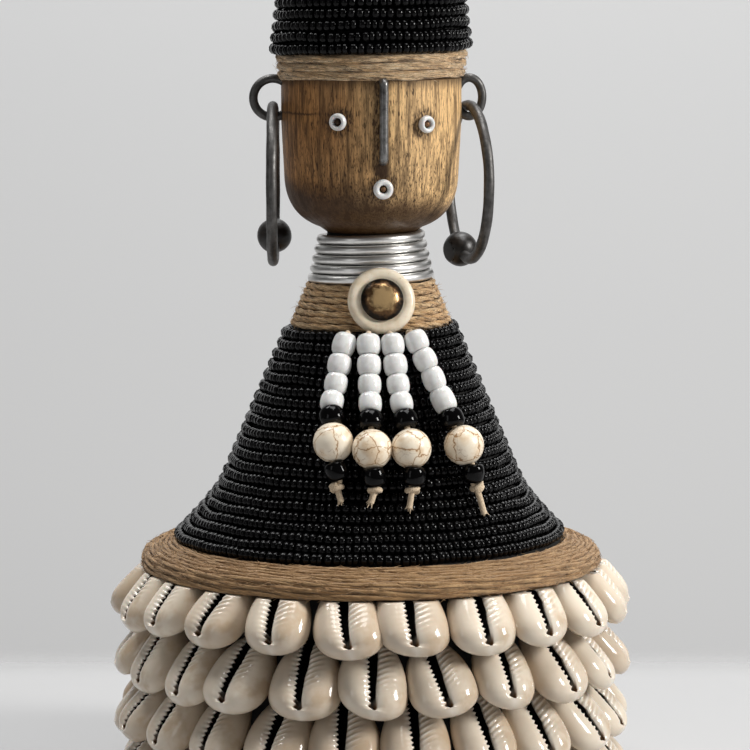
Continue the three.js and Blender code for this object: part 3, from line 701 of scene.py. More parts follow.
def facing(position: Vector, outward: Vector, upward: Vector = UP) -> Matrix:
    """The place of a piece whose own +Z points outward and whose own +Y leans upward.

    Args:
        position: Place of its origin.
        outward: Direction of its own +Z.
        upward: Direction that its own +Y leans to.

    Returns:
        The matrix.
    """
    z_axis = outward.normalized()
    x_axis = upward.cross(z_axis).normalized()
    turn = Matrix((x_axis, z_axis.cross(x_axis), z_axis)).transposed().to_4x4()
    return Matrix.Translation(position) @ turn


def soften(points: Sequence[Sequence[float]], rounds: int = 2, ring: bool = False) -> list[Vector]:
    """Rounds the corners of a line by cutting them off again and again.

    Args:
        points: Points in two or three dimensions.
        rounds: Number of passes.
        ring: Whether the line closes on itself.

    Returns:
        The softened line.
    """
    line = [Vector(point) for point in points]
    for _ in range(rounds):
        pairs = zip(line, line[1:] + line[:1] if ring else line[1:])
        cut = [a.lerp(b, share) for a, b in pairs for share in (0.25, 0.75)]
        line = cut if ring else [line[0], *cut[1:-1], line[-1]]
    return line


def shade(mesh: Mesh, crease: float) -> None:
    """Shades a mesh smooth up to an angle in degrees."""
    mesh.polygons.foreach_set("use_smooth", [True] * len(mesh.polygons))
    mesh.set_sharp_from_angle(angle=math.radians(crease))


def mesh_from(shape: Shape, name: str, crease: float) -> Mesh:
    """Joins, turns out and shades a bmesh and makes it a mesh.

    Args:
        shape: The bmesh, which is freed.
        name: Name of the mesh.
        crease: Angle in degrees past which an edge stays sharp.

    Returns:
        The mesh.
    """
    bmesh.ops.remove_doubles(shape, verts=shape.verts, dist=1e-4)
    bmesh.ops.recalc_face_normals(shape, faces=shape.faces)
    mesh = bpy.data.meshes.new(name)
    shape.to_mesh(mesh)
    shape.free()
    shade(mesh, crease)
    return mesh


def close_holes(shape: Shape) -> None:
    """Fills every open rim of a bmesh."""
    bmesh.ops.holes_fill(shape, edges=[edge for edge in shape.edges if edge.is_boundary], sides=0)


def slice_off(shape: Shape, point: Sequence[float],
              out: Sequence[float]) -> list[bmesh.types.BMEdge]:
    """Cuts off what lies past a plane and closes the cut.

    Args:
        shape: The bmesh that is cut.
        point: A point of the plane.
        out: Direction of the part that goes.

    Returns:
        The edges round the cut.
    """
    everything = [*shape.verts, *shape.edges, *shape.faces]
    cut = bmesh.ops.bisect_plane(shape, geom=everything, plane_co=point, plane_no=out,
                                 clear_outer=True)
    rim = [item for item in cut["geom_cut"] if isinstance(item, bmesh.types.BMEdge)]
    bmesh.ops.holes_fill(shape, edges=rim, sides=0)
    return [edge for edge in rim if edge.is_valid]


def spun(name: str, profile: Sequence[Sequence[float]], steps: int, ring: bool = False,
         crease: float = 50.0) -> Mesh:
    """Turns a profile round its own Z axis.

    Args:
        name: Name of the mesh.
        profile: Points of (radius, height).
        steps: Number of steps in the full turn.
        ring: Whether the profile closes on itself.
        crease: Angle past which an edge stays sharp.

    Returns:
        The mesh.
    """
    shape = bmesh.new()
    verts = [shape.verts.new((radius, 0.0, height)) for radius, height in profile]
    edges = [shape.edges.new(pair)
             for pair in zip(verts, verts[1:] + verts[:1] if ring else verts[1:])]
    bmesh.ops.spin(shape, geom=verts + edges, cent=(0, 0, 0), axis=(0, 0, 1), dvec=(0, 0, 0),
                   angle=TURN, steps=steps, use_merge=True)
    return mesh_from(shape, name, crease)


def curve(name: str, paths: Sequence[Sequence[Vector]], radius: float,
          level: int) -> bpy.types.Curve:
    """A round section along paths of equal length.

    Args:
        name: Name of the curve.
        paths: Points of each strand.
        radius: Radius of the section.
        level: Roundness of the section.

    Returns:
        The curve.
    """
    data = bpy.data.curves.new(name, "CURVE")
    data.dimensions = "3D"
    data.bevel_depth, data.bevel_resolution = radius, level
    for path in paths:
        spline = data.splines.new("POLY")
        spline.points.add(len(path) - 1)
        spline.points.foreach_set("co", [value for point in path for value in (*point, 1.0)])
    return data


def tubes(name: str, paths: Sequence[Sequence[Vector]], radius: float, level: int = 1,
          loop: bool = False, swell: Callable[[int], float] = lambda _: 1.0) -> Mesh:
    """Sweeps a round section along paths of equal length.

    Each vertex keeps how far along and round its strand it lies in the attribute strand.

    Args:
        name: Name of the mesh.
        paths: Points of each strand.
        radius: Radius of the section.
        level: Roundness of the section.
        loop: Whether the strands close on themselves.
        swell: Share of the radius at a point, by its number.

    Returns:
        The mesh.
    """
    data, count = curve(name, paths, radius, level), len(paths[0])
    for spline in data.splines:
        spline.use_cyclic_u = loop
        spline.points.foreach_set("radius", [swell(k) for k in range(count)])
    holder = bpy.data.objects.new(name, data)
    mesh = bpy.data.meshes.new_from_object(holder)
    bpy.data.objects.remove(holder)
    bpy.data.curves.remove(data)
    number, sides = np.arange(len(mesh.vertices)), len(mesh.vertices) // (count * len(paths))
    steps = [[0.0, *np.cumsum([(b - a).length for a, b in zip(path, path[1:])])] for path in paths]
    along = np.array(steps).reshape(-1)[number // sides]
    across = (number % sides) / sides * TURN * radius
    set_attribute(mesh, "strand",
                  np.stack([along, across, (number // (sides * count)) * STRAND_SHIFT], axis=1))
    if not loop:
        shape = bmesh.new()
        shape.from_mesh(mesh)
        close_holes(shape)
        bmesh.ops.recalc_face_normals(shape, faces=shape.faces)
        shape.to_mesh(mesh)
        shape.free()
    shade(mesh, CREASE)
    return mesh


def set_attribute(mesh: Mesh, name: str, values: np.ndarray) -> None:
    """Stores numbers or vectors on the vertices.

    Args:
        mesh: Mesh that gets them.
        name: Name of the attribute.
        values: One number or one vector for each vertex.
    """
    vector = values.ndim == 2
    layer = mesh.attributes.new(name, "FLOAT_VECTOR" if vector else "FLOAT", "POINT")
    layer.data.foreach_set("vector" if vector else "value", values.astype(np.float32).ravel())


def corners_of(mesh: Mesh) -> np.ndarray:
    """The vertices of a mesh as rows of three numbers."""
    return np.array([vert.co for vert in mesh.vertices], dtype=np.float64)


def repeated(name: str, pattern: Mesh, places: Sequence[Matrix], crease: float = SMOOTH) -> Mesh:
    """Joins placed copies of one small mesh.

    Args:
        name: Name of the new mesh.
        pattern: Mesh that is copied.
        places: Place of each copy.
        crease: Angle past which an edge stays sharp.

    Returns:
        The joined mesh.
    """
    local, turns = corners_of(pattern), np.array(places)
    world = np.einsum("nij,vj->nvi", turns[:, :3, :3], local) + turns[:, None, :3, 3]
    faces = [tuple(face.vertices) for face in pattern.polygons]
    joined = [tuple(k * len(local) + v for v in face) for k in range(len(places)) for face in faces]
    mesh = bpy.data.meshes.new(name)
    mesh.from_pydata(world.reshape(-1, 3), [], joined)
    shade(mesh, crease)
    return mesh


def enlist(name: str, data: Mesh | bpy.types.Curve, finish: Material, slot: Slot,
           replaces: Sequence[str], body: Body) -> Piece:
    """Puts a mesh or curve into the scene as a piece that rides on a body.

    Args:
        name: Name of the piece.
        data: Its mesh or curve in metres.
        finish: Its first material.
        slot: Material slot of the record; not used.
        replaces: CAD nodes that it stands for.
        body: Body that it rides on.

    Returns:
        The piece.
    """
    data.materials.append(finish)
    piece = bpy.data.objects.new(name, data)
    bpy.context.scene.collection.objects.link(piece)
    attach(piece, body.value)
    if replaces:
        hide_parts(*replaces)
    LOG.info("%s: on %s", name, body.value)
    return piece


def add_piece(name: str, mesh: Mesh, finish: Material, slot: Slot, replaces: Sequence[str] = (),
              body: Body = Body.FIGURE, place: Matrix = Matrix()) -> Piece:
    """Puts a mesh in millimetres to its place and into the scene, as enlist does."""
    mesh.transform(Matrix.Scale(MM, 4) @ place)
    return enlist(name, mesh, finish, slot, replaces, body)


# Windings

class Line:
    """A path of (radius, height), walked by its length from the top down and outwards."""

    corner_steps = 16

    def __init__(self, *parts: Sequence[Point2]) -> None:
        """Joins straight parts of two points and rounded parts of three.

        Args:
            parts: End points, with the corner of a rounded part between them.
        """
        self.points: list[Vector] = [Vector(parts[0][0])]
        for part in parts:
            count = 1 if len(part) == 2 else self.corner_steps
            for k in range(1, count + 1):
                bent = [Vector(point) for point in part]
                while len(bent) > 1:
                    bent = [a.lerp(b, k / count) for a, b in zip(bent, bent[1:])]
                self.points.append(bent[0])
        steps = [(b - a).length for a, b in zip(self.points, self.points[1:])]
        self.stops = [0.0, *np.cumsum(steps)]
        self.length = float(self.stops[-1])

    def at(self, walked: float) -> tuple[Vector, Vector]:
        """The point and the outward normal at a length.

        Args:
            walked: Length from the start.

        Returns:
            Point and normal, both of (radius, height).
        """
        k = min(max(int(np.searchsorted(self.stops, walked)) - 1, 0), len(self.points) - 2)
        share = (walked - self.stops[k]) / (self.stops[k + 1] - self.stops[k])
        tangent = (self.points[k + 1] - self.points[k]).normalized()
        return self.points[k].lerp(self.points[k + 1], share), Vector((-tangent.y, tangent.x))

    def bed(self, depth: float) -> list[Point2]:
        """Sinks the line into the wood.

        Args:
            depth: How far it is sunk.

        Returns:
            The sunk line, from the bottom up.
        """
        outs = [self.at(min(stop + 1e-6, self.length))[1] for stop in self.stops]
        sunk = [(point.x - out.x * depth, point.y - out.y * depth)
                for point, out in zip(self.points, outs)]
        return sunk[::-1]


@dataclass
class Station:
    """A place on a wound string: its point, its direction and its outward normal."""

    point: Vector
    along: Vector
    out: Vector

    @property
    def side(self) -> Vector:
        """Direction across the string on the surface."""
        return self.along.cross(self.out)


@dataclass
class Winding:
    """A string wound in a spiral along a line, in whole turns so that its ends lie at the back."""

    line: Line
    turns: int
    start: float = math.pi

    def stations(self, step: float) -> list[Station]:
        """Places at equal steps along the string.

        Args:
            step: Length of string between two places.

        Returns:
            The places from the upper end down.
        """
        pitch = self.line.length / self.turns
        walked, angle, found = 0.0, self.start, []
        while walked < self.line.length:
            point, normal = self.line.at(walked)
            turn = step / math.hypot(point.x, pitch / TURN)
            fall = Vector((normal.y, -normal.x)) * (pitch / TURN)
            along = around(angle, fall.x, fall.y) + around(angle - math.pi / 2, point.x, 0.0)
            found.append(Station(around(angle, point.x, point.y), along.normalized(),
                                 around(angle, normal.x, normal.y)))
            walked += pitch * turn / TURN
            angle -= turn
        return found


@dataclass
class BeadString:
    """Seed beads threaded on a wound string."""

    name: str
    finish: Material
    winding: Winding
    sides: int
    seed: int
    radius: float = 1.53
    length: float = 2.02
    widths: Point2 = (0.74, 1.1)
    girths: Point2 = (0.95, 1.01)
    tip: float = 0.07
    lift: float = 0.06
    grid: float = 0.1
    sway: float = 0.6
    sway_rate: float = 0.08

    def bead(self) -> Mesh:
        """One bead: a short barrel with rounded ends, its bore along Z.

        Returns:
            Its mesh.
        """
        half = self.length / 2
        lower = [(0.0, -0.70 * half), (0.66 * self.radius, -half), (self.radius, -0.42 * half)]
        profile = [*lower, *((radius, -height) for radius, height in reversed(lower))]
        return spun(self.name + "_bead", profile, self.sides, crease=SMOOTH)

    def build(self) -> None:
        """Threads the beads, each a little different, and adds them as one piece."""
        chance = random.Random(self.seed)
        places, walked = [], 0.0
        stations = self.winding.stations(self.grid)
        while (spot := round(walked / self.grid)) < len(stations):
            station = stations[spot]
            sway = self.sway * noise.noise((self.sway_rate * walked, float(self.seed), 0.0))
            tip_x, tip_y = (Matrix.Rotation(chance.gauss(0.0, self.tip), 4, axis) for axis in "XY")
            spin = Matrix.Rotation(chance.uniform(0.0, TURN), 4, "Z")
            girth, width = chance.uniform(*self.girths), chance.uniform(*self.widths)
            walked += self.length * width
            shift = station.out * chance.gauss(0.0, self.lift) + station.side * sway
            seat = Matrix.Translation(shift) @ facing(station.point, station.along, station.out)
            size = Matrix.Diagonal((girth, girth, width, 1.0))
            places.append(seat @ (tip_x @ tip_y) @ spin @ size)
        bead = self.bead()
        mesh = repeated(self.name, bead, places)
        tones = np.array([chance.random() ** 2 for _ in places])
        set_attribute(mesh, "tone", np.repeat(tones, len(bead.vertices)))
        add_piece(self.name + "_strung", mesh, self.finish, Slot.BLACK_GLASS, [self.name])


@dataclass
class Twine:
    """Twine of twisted plies, wound in a spiral, with loose fibres."""

    name: str
    finish: Material
    winding: Winding
    radius: float
    plies: int
    lay: float
    step: float
    hairs: int
    seed: int
    level: int = 1
    loose: float = 0.15
    hair: float = 0.05
    stand: Point2 = (0.15, 0.8)
    offset: float = 0.50
    ply: float = 0.56
    spread: float = 1.4
    curl: float = 0.6
    lengths: Point2 = (0.7, 2.4)
    sway_rate: float = 0.06
    bulge_rate: float = 0.15
    hair_root: float = 0.85
    hair_stops: tuple[float, ...] = (0.0, 0.35, 0.7, 1.0)
    hair_widths: tuple[float, ...] = (1.0, 0.9, 0.7, 0.3)

    def plies_along(self, stations: Sequence[Station]) -> list[list[Vector]]:
        """Paths of the plies, twisted round the string's middle.

        Args:
            stations: Places along the string.

        Returns:
            One path for each ply.
        """
        chance = random.Random(self.seed)
        offset = self.radius * self.offset
        wander = [chance.uniform(0.0, 50.0) for _ in range(2)]
        paths: list[list[Vector]] = [[] for _ in range(self.plies)]
        for k, station in enumerate(stations):
            walked = k * self.step
            sway = noise.noise((walked * self.sway_rate, wander[0], 0.0)) * self.loose * self.radius
            bulge = 1.0 + self.loose * noise.noise((walked * self.bulge_rate, wander[1], 0.0))
            for ply, path in enumerate(paths):
                angle = TURN * (walked / self.lay + ply / self.plies)
                swing = station.out * math.cos(angle) + station.side * math.sin(angle)
                path.append(station.point + station.side * sway + swing * offset * bulge)
        return paths

    def fibres(self, stations: Sequence[Station]) -> Mesh:
        """Loose fibres that stand off the twine.

        Args:
            stations: Places along the string.

        Returns:
            Their mesh.
        """
        chance = random.Random(self.seed + 1)
        paths = []
        for _ in range(self.hairs):
            station = stations[chance.randrange(len(stations))]
            angle = chance.uniform(-self.spread, self.spread)
            swing = station.out * math.cos(angle) + station.side * math.sin(angle)
            start = station.point + swing * self.radius * self.hair_root
            lean = station.along * chance.choice((-1.0, 1.0)) + swing * chance.uniform(*self.stand)
            curl = station.side * chance.uniform(-self.curl, self.curl)
            length = chance.uniform(*self.lengths) * (0.6 + 0.5 * self.radius)
            paths.append([start + lean * length * s + curl * length * s * s
                          for s in self.hair_stops])
        return tubes(self.name + "_fibres", paths, self.hair, 0,
                     swell=lambda k: self.hair_widths[k])

    def build(self) -> None:
        """Winds the twine and adds it with its fibres."""
        stations = self.winding.stations(self.step)
        mesh = tubes(self.name, self.plies_along(stations), self.radius * self.ply, self.level)
        add_piece(self.name + "_laid", mesh, self.finish, Slot.JUTE, [self.name])
        add_piece(self.name + "_fibres", self.fibres(stations), self.finish, Slot.JUTE)


@dataclass
class NeckCoil:
    """Satin wire wound tightly round the neck."""

    finish: Material
    winding: Winding
    radius: float = 1.26
    step: float = 0.9

    def build(self) -> None:
        """Winds the wire and adds it."""
        path = [station.point for station in self.winding.stations(self.step)]
        mesh = tubes("neck_coil", [path], self.radius, WIRE_LEVEL)
        add_piece("neck_coil_wire", mesh, self.finish, Slot.ALUMINIUM, ["neck_coil"])


# Figure and skirt

@dataclass
class Outline:
    """Lines of the doll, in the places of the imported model."""

    core_radius: float = 50.0
    skirt_top: float = 60.99
    chin: float = 148.97
    head_top: float = 189.17
    twine_top: float = 136.0
    twine_foot: float = 124.4
    band_top: float = 196.0
    brim: Line = Line([(51.4, 67.6), (58.35, 65.3)], [(58.35, 65.3), (60.05, 64.6), (60.05, 61.3)])
    body: Line = Line([(21.4, 124.6), (37.95, 85.44)],
                      [(37.95, 85.44), (40.762, 78.74), (51.3, 68.7)])
    shoulder: Line = Line([(15.9, 136.15), (20.7, 124.6)])
    neck: Line = Line([(12.75, 148.95), (15.65, 136.15)])
    head: Line = Line([(23.6, 189.17), (23.6, 178.37)],
                      [(23.6, 178.37), (23.2, 170.8), (22.8, 163.17)],
                      [(22.8, 163.17), (22.3, 153.37), (13.6, 150.37)])
    headband: Line = Line([(24.0, 196.0), (23.35, 189.5)])
    headdress: Line = Line([(2.0, 232.83), (16.0, 232.03)],
                           [(16.0, 232.03), (21.5, 232.03), (22.0, 226.03)],
                           [(22.0, 226.03), (25.3, 196.0)])

    def head_radius(self, height: float) -> float:
        """Radius of the bare head at a height."""
        return next(point.x for point in self.head.points if point.y <= height)


@dataclass
class WoodenFigure:
    """The turned figure that carries everything else.

    Its finishes are bare wood, black thread under beads and brown thread under twine.
    """

    outline: Outline
    finishes: Sequence[Material]
    steps: int = 128
    crease: float = 35.0
    foot_edge: float = 0.6
    neck_radius: float = 11.6
    brim_bed: float = 0.75
    bead_bed: float = 1.35
    twine_bed: float = 0.62
    coil_bed: float = 1.2
    band_bed: float = 0.9

    def build(self) -> None:
        """Turns the figure, with a bed for each winding, and adds it."""
        line, core = self.outline, self.outline.core_radius
        brim = line.brim.bed(self.brim_bed)
        profile = [(0.0, 0.0), (core - self.foot_edge, 0.0), (core, self.foot_edge),
                   (core, line.skirt_top), (brim[0][0], line.skirt_top), *brim,
                   *line.body.bed(self.bead_bed), *line.shoulder.bed(self.twine_bed),
                   *line.neck.bed(self.coil_bed), (self.neck_radius, line.chin),
                   *line.head.bed(0.0), *line.headband.bed(self.band_bed),
                   *line.headdress.bed(self.bead_bed)]
        profile.append((0.0, profile[-1][1]))
        mesh = spun("wooden_figure", profile, self.steps, crease=self.crease)
        for face in mesh.polygons:
            face.material_index = self.cover(face.center.z)
        wood, *threads = self.finishes
        add_piece("turned_figure", mesh, wood, Slot.WOOD, ["wooden_figure"])
        for thread in threads:
            mesh.materials.append(thread)

    def cover(self, height: float) -> int:
        """Number of the finish at a height.

        Args:
            height: Height above the base.

        Returns:
            0 for bare wood, 1 for black and 2 for brown thread.
        """
        line = self.outline
        if line.chin - 0.1 < height < line.head_top + 0.2 or height < 0.7:
            return 0
        wound = ((line.skirt_top + 0.1, line.brim.points[0].y), (line.twine_foot, line.twine_top),
                 (line.head_top, line.band_top))
        return 2 if any(low < height < high for low, high in wound) else 1


@dataclass
class SkirtCloth:
    """The cloth sleeve that the shells are sewn to."""

    finish: Material
    inner: float = 50.3
    outer: float = 51.1
    foot: float = 1.2
    top: float = 60.7
    rows: int = 12
    steps: int = 96

    def build(self) -> None:
        """Rolls the sleeve and adds it."""
        rows = [self.foot + (self.top - self.foot) * k / self.rows for k in range(self.rows + 1)]
        profile = [*((self.outer, z) for z in rows), *((self.inner, z) for z in reversed(rows))]
        mesh = spun("skirt_cloth", profile, self.steps, ring=True, crease=CREASE)
        spots = corners_of(mesh)
        angle = np.arctan2(spots[:, 0], -spots[:, 1])
        set_attribute(mesh, "weave",
                      np.stack([angle * self.outer, spots[:, 2], 0.0 * angle], axis=1))
        cloth = add_piece("sewn_cloth", mesh, self.finish, Slot.CLOTH, ["skirt_cloth"])
        girth = TURN * (self.inner + self.outer) / 2
        girth * MM
        (self.top - self.foot) * MM


def clamp(value: float) -> float:
    """The value held between 0 and 1."""
    return min(1.0, max(0.0, value))


@dataclass
class CowrieRows:
    """Rows of cowrie shells that overlap downwards."""

    finish: Material
    row_radius: float = 60.11
    heights: tuple[float, ...] = (57.0, 41.8, 26.6, 11.4)
    phases: tuple[float, ...] = (0.2, -0.4, 0.2, -0.4)
    per_row: int = 22
    tilt: float = math.radians(40.0)
    half_length: float = 11.9
    half_width: float = 9.1
    front: float = 4.9
    back: float = 3.1
    slit_low: float = 0.9
    slit_high: float = 1.4
    slit_end: float = -0.91
    slit_round: float = 0.08
    widest: float = -0.25
    tooth_pitch: float = 1.4
    tooth_depth: float = 0.7
    rib_pitch: float = 1.6
    rib_slant: float = 0.5
    rib_reach: float = 5.2
    rib_height: float = 0.2
    tooth_rib: float = 0.10
    tooth_fade: float = 0.9
    lip_roll: float = 1.3
    lip_fade: float = 1.5
    slit_bend: float = 0.5
    slit_wave: float = 2.4
    crowding: float = 1.5
    lower_end: Point2 = (2.8, 0.5)
    upper_end: Point2 = (1.8, 0.6)
    flank_curve: Point2 = (2.7, 0.6)
    end_curve: Point2 = (3.6, 0.55)
    pit_depth: float = 2.4
    pit_edge: float = 0.4
    turn_spread: float = 0.011
    tilt_spread: float = 0.05
    roll_spread: float = 0.10
    yaw: Point2 = (0.04, 0.09)
    spans: tuple[Point2, ...] = ((0.93, 1.05), (0.94, 1.07), (0.95, 1.02))
    shear: float = 0.07
    height_spread: float = 0.4
    place_seed: int = 40
    tone_seed: int = 80
    columns: int = 32
    rows: int = 96
    cut_height: float = 60.7
    crease: float = 65.0

    def shell(self) -> Mesh:
        """One shell: its own Z runs along it, its own -Y faces out, its back is sliced flat.

        Returns:
            The mesh, with distances off the slit and along it in the attribute shell.
        """
        shape = bmesh.new()
        bmesh.ops.create_grid(shape, x_segments=self.columns, y_segments=self.rows, size=1.0)
        layer = shape.verts.layers.float_vector.new("shell")
        for vert in shape.verts:
            across, share = vert.co.x, 0.65 * vert.co.y + 0.35 * math.sin(vert.co.y * math.pi / 2)
            vert.co, off_slit = self.skin(across, share)
            vert[layer] = (off_slit, share * self.half_length, 0.0)
        rim = [edge for edge in shape.edges if edge.is_boundary]
        for depth, draw in ((0.55, 0.985), (1.0, 0.88)):
            grown = bmesh.ops.extrude_edge_only(shape, edges=rim)["geom"]
            edges = [item for item in grown if isinstance(item, bmesh.types.BMEdge)]
            rim = [edge for edge in edges if edge.is_boundary]
            for vert in (item for item in grown if isinstance(item, bmesh.types.BMVert)):
                vert.co = Vector((vert.co.x * draw, depth * self.back, vert.co.z * draw))
        bmesh.ops.remove_doubles(shape, verts=shape.verts, dist=1e-3)
        close_holes(shape)
        return mesh_from(shape, "cowrie", self.crease)

    def skin(self, across: float, share: float) -> tuple[Vector, float]:
        """A point of the lips.

        Args:
            across: Place across the shell, from -1 to 1, with 0 in the slit.
            share: Place along the shell, from -1 to 1.

        Returns:
            The point, and its distance off the slit.
        """
        below = share < self.widest
        far = abs(share - self.widest) / (1.0 + self.widest if below else 1.0 - self.widest)
        power, root = self.lower_end if below else self.upper_end
        girth = (1.0 - min(1.0, far) ** power) ** root
        half = self.half_width * girth
        slit = self.slit_bend * math.sin(self.slit_wave * share) - 1.0 - share
        slit *= min(1.0, 1.3 * girth)
        edge = half if across > 0 else -half
        x = slit + (edge - slit) * abs(across) ** self.crowding
        off_slit = x - slit
        flank = min(1.0, abs(x) / half) if half > 1e-6 else 1.0
        (steep, blunt), (taper, tip) = self.flank_curve, self.end_curve
        dome = (1.0 - flank ** steep) ** blunt * max(0.0, 1.0 - far ** taper) ** tip
        rise = clamp((share + 0.95) / 1.3)
        closing = clamp((share - self.slit_end) / self.slit_round) ** 0.5
        width = self.slit_low + (self.slit_high - self.slit_low) * rise * rise * (3.0 - 2.0 * rise)
        width *= closing
        along = share * self.half_length
        lip = abs(off_slit) - width
        depth = min(1.0, 2.2 * girth)
        if off_slit < 0:
            beat = math.cos(TURN * along / self.tooth_pitch)
            width -= self.tooth_depth * math.acos(beat) / math.pi * min(1.0, width)
            past = abs(off_slit) - width
            rib = -self.tooth_rib * beat * math.exp(-max(0.0, lip) / self.tooth_fade) * closing
        else:
            past = off_slit - width
            beat = math.sin(TURN * (along - self.rib_slant * off_slit) / self.rib_pitch)
            fade = clamp((share + 0.65) / 0.55) * max(0.0, 1.0 - max(0.0, past) / self.rib_reach)
            rib = self.rib_height * beat * fade * clamp(past / self.pit_edge)
        roll = self.lip_roll * math.exp(-max(0.0, lip) / self.lip_fade) * depth * closing
        pit = self.pit_depth * clamp(-past / self.pit_edge) * depth
        y = -self.front * dome + roll + pit - rib * depth
        return Vector((x, min(y, 0.7 * self.back) + 0.25 * self.back, along)), off_slit

    def places(self, row: int) -> list[Matrix]:
        """Where the shells of a row lie.

        Args:
            row: Number of the row from the top.

        Returns:
            Their places, each a little different.
        """
        chance = random.Random(self.place_seed + row)
        found = []
        for k in range(self.per_row):
            angle = (k + self.phases[row]) * TURN / self.per_row
            angle += chance.gauss(0.0, self.turn_spread)
            lean = Matrix.Rotation(-self.tilt + chance.gauss(0.0, self.tilt_spread), 4, "X")
            roll = Matrix.Rotation(chance.gauss(0.0, self.roll_spread), 4, "Y")
            yaw = Matrix.Rotation(chance.gauss(*self.yaw), 4, "Z")
            size = Matrix.Diagonal((*(chance.uniform(*span) for span in self.spans), 1.0))
            size[0][2] = chance.gauss(0.0, self.shear)
            height = self.heights[row] + chance.gauss(0.0, self.height_spread)
            spot = Matrix.Translation((0.0, -self.row_radius, height))
            found.append(Matrix.Rotation(angle, 4, "Z") @ spot @ lean @ yaw @ roll @ size)
        return found

    def build(self) -> None:
        """Sews the rows and adds them, each shell with a tone of its own."""
        shell = self.shell()
        marks = np.empty(3 * len(shell.vertices), dtype=np.float32)
        shell.attributes["shell"].data.foreach_get("vector", marks)
        for row in range(len(self.heights)):
            name = f"cowrie_row_{row + 1}"
            mesh = repeated(name, shell, self.places(row), self.crease)
            chance = random.Random(self.tone_seed + row)
            own = np.tile(marks.reshape(-1, 3), (self.per_row, 1))
            own[:, 2] = np.repeat([chance.random() for _ in range(self.per_row)],
                                  len(shell.vertices))
            set_attribute(mesh, "shell", own)
            if row == 0:
                self.trim(mesh)
            add_piece(f"shells_{row + 1}", mesh, self.finish, Slot.COWRIE, [name])

    def trim(self, mesh: Mesh) -> None:
        """Cuts off the upper ends of the top row, which the brim hides.

        Args:
            mesh: Mesh of the row.
        """
        shape = bmesh.new()
        shape.from_mesh(mesh)
        slice_off(shape, (0, 0, self.cut_height), UP)
        shape.to_mesh(mesh)
        shape.free()


# Face, ears and earrings

@dataclass
class FaceBead:
    """A white ring bead held by a nail: an eye or the mouth."""

    name: str
    outline: Outline
    glass: Material
    nail: Material
    angle: float
    height: float
    outer: float = 2.28
    hole: float = 1.0
    thickness: float = 2.0
    sides: int = 16
    ring_steps: int = 40
    pin_steps: int = 20
    shank: tuple[Point2, ...] = ((0.0, -5.0), (0.7, -5.0), (0.74, 1.1), (0.62, 1.62), (0.0, 1.8))

    @property
    def spot(self) -> Vector:
        """Where the bead touches the face."""
        return around(self.angle, self.outline.head_radius(self.height) + 0.1, self.height)

    def build(self) -> None:
        """Turns the bead and its nail and adds them."""
        place = facing(self.spot, around(self.angle, 1.0, 0.0))
        half = self.thickness / 2
        middle, wall = (self.outer + self.hole) / 2, (self.outer - self.hole) / 2
        angles = [TURN * k / self.sides for k in range(self.sides)]
        ring = [(middle + wall * math.cos(a), half + half * math.sin(a)) for a in angles]
        bead = spun(self.name + "_bead", ring, self.ring_steps, ring=True, crease=SMOOTH)
        pin = spun(self.name + "_nail", soften(self.shank), self.pin_steps)
        set_attribute(pin, "strand", corners_of(pin))
        add_piece(self.name + "_ring", bead, self.glass, Slot.WHITE_GLASS, [self.name + "_bead"],
                  place=place)
        add_piece(self.name + "_pin", pin, self.nail, Slot.NAIL, [self.name + "_nail"], place=place)


@dataclass
class NoseStaple:
    """A wire bar down the face with both ends bent into the wood."""

    finish: Material
    radius: float = 1.18
    front: float = 25.0
    leg: float = 18.9
    top: float = 189.0
    length: float = 20.28
    bend: float = 1.2
    straight: float = 0.8
    waver: Point2 = (0.03, 1.7)
    bend_steps: int = 8
    bar_steps: int = 14

    def build(self) -> None:
        """Bends the wire and adds it."""
        bottom, bend = self.top - self.length, self.bend
        neck = self.front - bend - self.straight
        corner = [math.pi / 2 * k / self.bend_steps for k in range(self.bend_steps + 1)]
        bar = [(self.length - 2 * bend) * k / self.bar_steps for k in range(1, self.bar_steps)]
        line = [(self.leg, self.top), (neck, self.top)]
        line += [(self.front - bend * (1 - math.sin(a)), self.top - bend * (1 - math.cos(a)))
                 for a in corner]
        line += [(self.front, self.top - bend - down) for down in bar]
        line += [(self.front - bend * (1 - math.cos(a)), bottom + bend * (1 - math.sin(a)))
                 for a in corner]
        line += [(neck, bottom), (self.leg, bottom)]
        path = [around(0.0, *point) for point in line]
        mesh = tubes("nose_wire", [path], self.radius, WIRE_LEVEL,
                     swell=lambda k: 1.0 + self.waver[0] * math.sin(self.waver[1] * k))
        add_piece("nose_staple", mesh, self.finish, Slot.IRON, ["nose_wire"])


